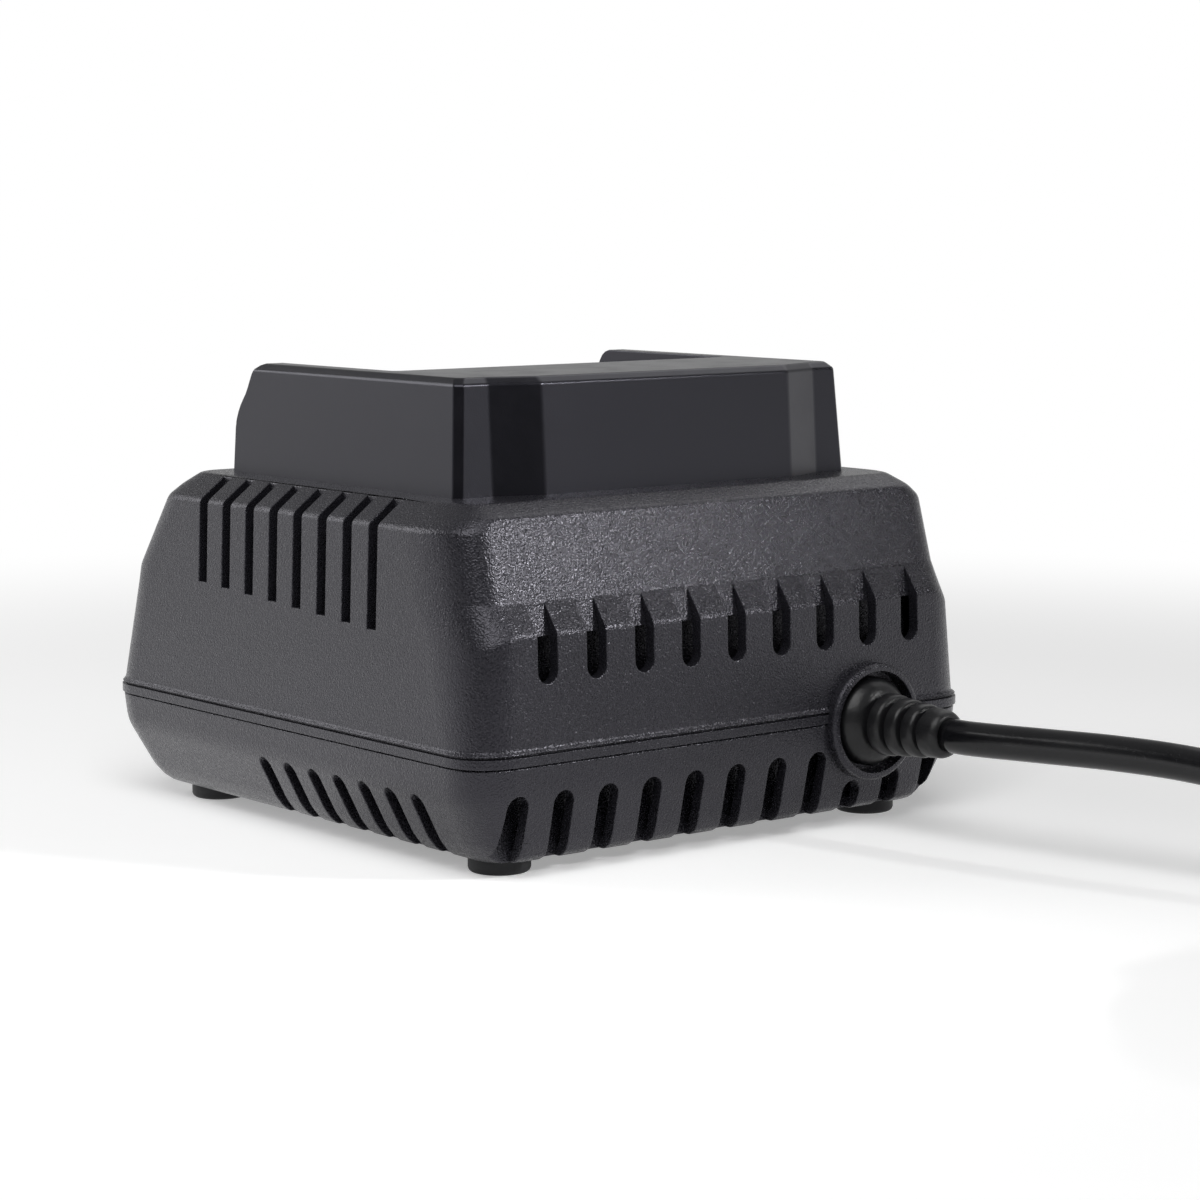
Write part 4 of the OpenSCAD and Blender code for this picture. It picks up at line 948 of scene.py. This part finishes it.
bmesh.ops.bevel(
    chamfer, geom=[e for e in chamfer.edges if e.calc_face_angle(0) > 0.5], offset=0.25 * MM,
    offset_type="OFFSET", segments=2, profile=0.5, affect="EDGES", clamp_overlap=True,
)
chamfer.to_mesh(block_mesh)
chamfer.free()
block = fitted("terminals", block_mesh, terminal_nylon, "black_plastic", "terminal_block")
even_shading(block)
dressed("contact_blades", plated("tinned_brass", (0.62, 0.55, 0.36), 0.24, 5200.0))


# ---------------------------------------------------------------- feet
# Four round rubber feet, moulded solid with a dished face, pressed into recesses in the tray.

foot_rubber = soft_pvc("foot_rubber", 0.62, 0.5, (0.022, 0.022, 0.024))
# height and radius, from the middle of the dish out and up to the middle of the top
foot_profile = [
    (0.5, 0.02), (0.5, 3.6), (0.35, 4.2), (0.05, 4.7), (0, 5.0), (0, 5.5), (0.12, 5.95),
    (0.4, 6.3), (0.9, 6.5), (4.45, 6.5), (4.45, 0.02),
]
foot_parts = []
for x in (-foot_x, foot_x):
    for y in (foot_front, foot_rear):
        foot_parts.append([[(u, v, z) for u, v in disc(x, y, r, 48)] for z, r in foot_profile])
feet = fitted("feet", solids("feet", foot_parts, 0), foot_rubber, "rubber", "rubber_feet")
feet.data.shade_smooth()
feet.data.set_sharp_from_angle(angle=radians(40))


# ---------------------------------------------------------------- status lights
# Two clear light pipes end flush in the leaning front face. Behind each is a small diode on its own
# little circuit board.


def clear_plastic(name, colour, haze):
    """Clear moulded polycarbonate with a frosted end."""
    made, pen, place = blank(name)
    frost = place.noise(3000.0, 2.0)
    cloud = place.noise(350.0, 2.0)
    shade = pen.node("BsdfPrincipled", None, {
        "Base Color": (cloud * 0.6 + frost * 0.3).tint(tuple(c * 0.7 for c in colour), colour),
        "Roughness": frost * 0.12 + haze,
        "Transmission Weight": 0.35,
        "IOR": 1.58,
        "Normal": frost.bump(0.25, 0.00003),
    })
    pen.node("OutputMaterial", None, {0: shade})
    return made


dressed("light_pipes", clear_plastic("light_pipe_clear", (0.55, 0.62, 0.56), 0.2))
dressed("indicator_leds", clear_plastic("diode_clear", (0.75, 0.75, 0.68), 0.12))


# ---------------------------------------------------------------- circuit board
# A single-sided board with green solder mask carries the mains side at the rear and the battery
# side at the front. Its parts are soldered in and stand upright.


def solder_mask(name):
    """Green lacquer over copper tracks, with small tinned spots."""
    made, pen, place = blank(name)
    tracks = pen.node("TexBrick", {"offset": 0.5}, {
        "Vector": place, "Scale": 90.0, "Mortar Size": 0.03,
        "Color1": white, "Color2": (0.6, 0.6, 0.6, 1), "Mortar": (0, 0, 0, 1),
    })
    dots = pen.node("TexVoronoi", None, {"Vector": place, "Scale": 240.0})
    solder = 1 - dots.step(0.12, 0.16)
    lacquer, tin = tracks.tint((0.008, 0.05, 0.02), (0.014, 0.10, 0.035)), (0.55, 0.55, 0.54, 1)
    face = pen.node("Mix", {"data_type": "RGBA"}, {0: solder, 6: lacquer, 7: tin}, out=2)
    shade = pen.node("BsdfPrincipled", None, {
        "Base Color": face,
        "Metallic": solder,
        "Roughness": 0.3 - solder * 0.05,
        "Normal": (tracks + solder).bump(0.3, 0.0001),
    })
    pen.node("OutputMaterial", None, {0: shade})
    return made


green_board = solder_mask("green_board")
ferrite = satin_moulding("ground_ferrite", (0.03, 0.03, 0.033), (0.09, 0.09, 0.095), 0.45, 1.0)
tape = satin_moulding("polyester_tape", (0.42, 0.28, 0.03), (0.62, 0.45, 0.07), 0.22, 0.5)
epoxy_case = satin_moulding("epoxy_case", (0.45, 0.33, 0.05), (0.58, 0.44, 0.08), 0.35, 0.4)
sleeve = satin_moulding("shrink_sleeve", (0.008, 0.009, 0.03), (0.02, 0.025, 0.07), 0.2, 0.6)
ceramic = satin_moulding("glazed_ceramic", (0.5, 0.5, 0.48), (0.68, 0.68, 0.65), 0.25, 0.4)
epoxy = satin_moulding("package_epoxy", (0.008, 0.008, 0.009), (0.028, 0.028, 0.03), 0.5, 1.0)
sink_metal = plated("extruded_aluminium", (0.55, 0.55, 0.56), 0.38, 2600.0)
for node, finish in (
    ("main_board", green_board),
    ("indicator_board", green_board),
    ("transformer_core", ferrite),
    ("transformer_winding", tape),
    ("x_capacitor", epoxy_case),
    ("bulk_capacitor", sleeve),
    ("output_capacitors", sleeve),
    ("filter_choke", plated("enamelled_wire", (0.42, 0.17, 0.05), 0.28, 3000.0)),
    ("fuse", ceramic),
    ("primary_heat_sink", sink_metal),
    ("secondary_heat_sink", sink_metal),
    ("switching_transistor", epoxy),
    ("output_rectifier", epoxy),
    ("control_chips", epoxy),
    ("output_leads", soft_pvc("lead_pvc", 0.35, 0.3, (0.32, 0.012, 0.01))),
    ("cord_inner_end", cord_pvc),
):
    dressed(node, finish)


# ---------------------------------------------------------------- cooling fan
# A small square fan hangs behind the side vents. Its rotor of seven blades turns on a short shaft
# inside the frame.

fan_nylon = satin_moulding("fan_nylon", (0.008, 0.008, 0.009), (0.024, 0.024, 0.026), 0.36, 0.6)
dressed("fan_frame", fan_nylon)
dressed("fan_rotor", fan_nylon)
dressed("cord_clamp", fan_nylon)


# ---------------------------------------------------------------- screws
# Zinc-plated thread-forming screws with a hexagon socket hold the case, the dock, the board and the
# cord's clamp.

zinc = plated("zinc_plating", (0.50, 0.50, 0.51), 0.3, 3500.0)
for node in ("housing_screws", "dock_screws", "board_screws", "clamp_screws"):
    dressed(node, zinc)
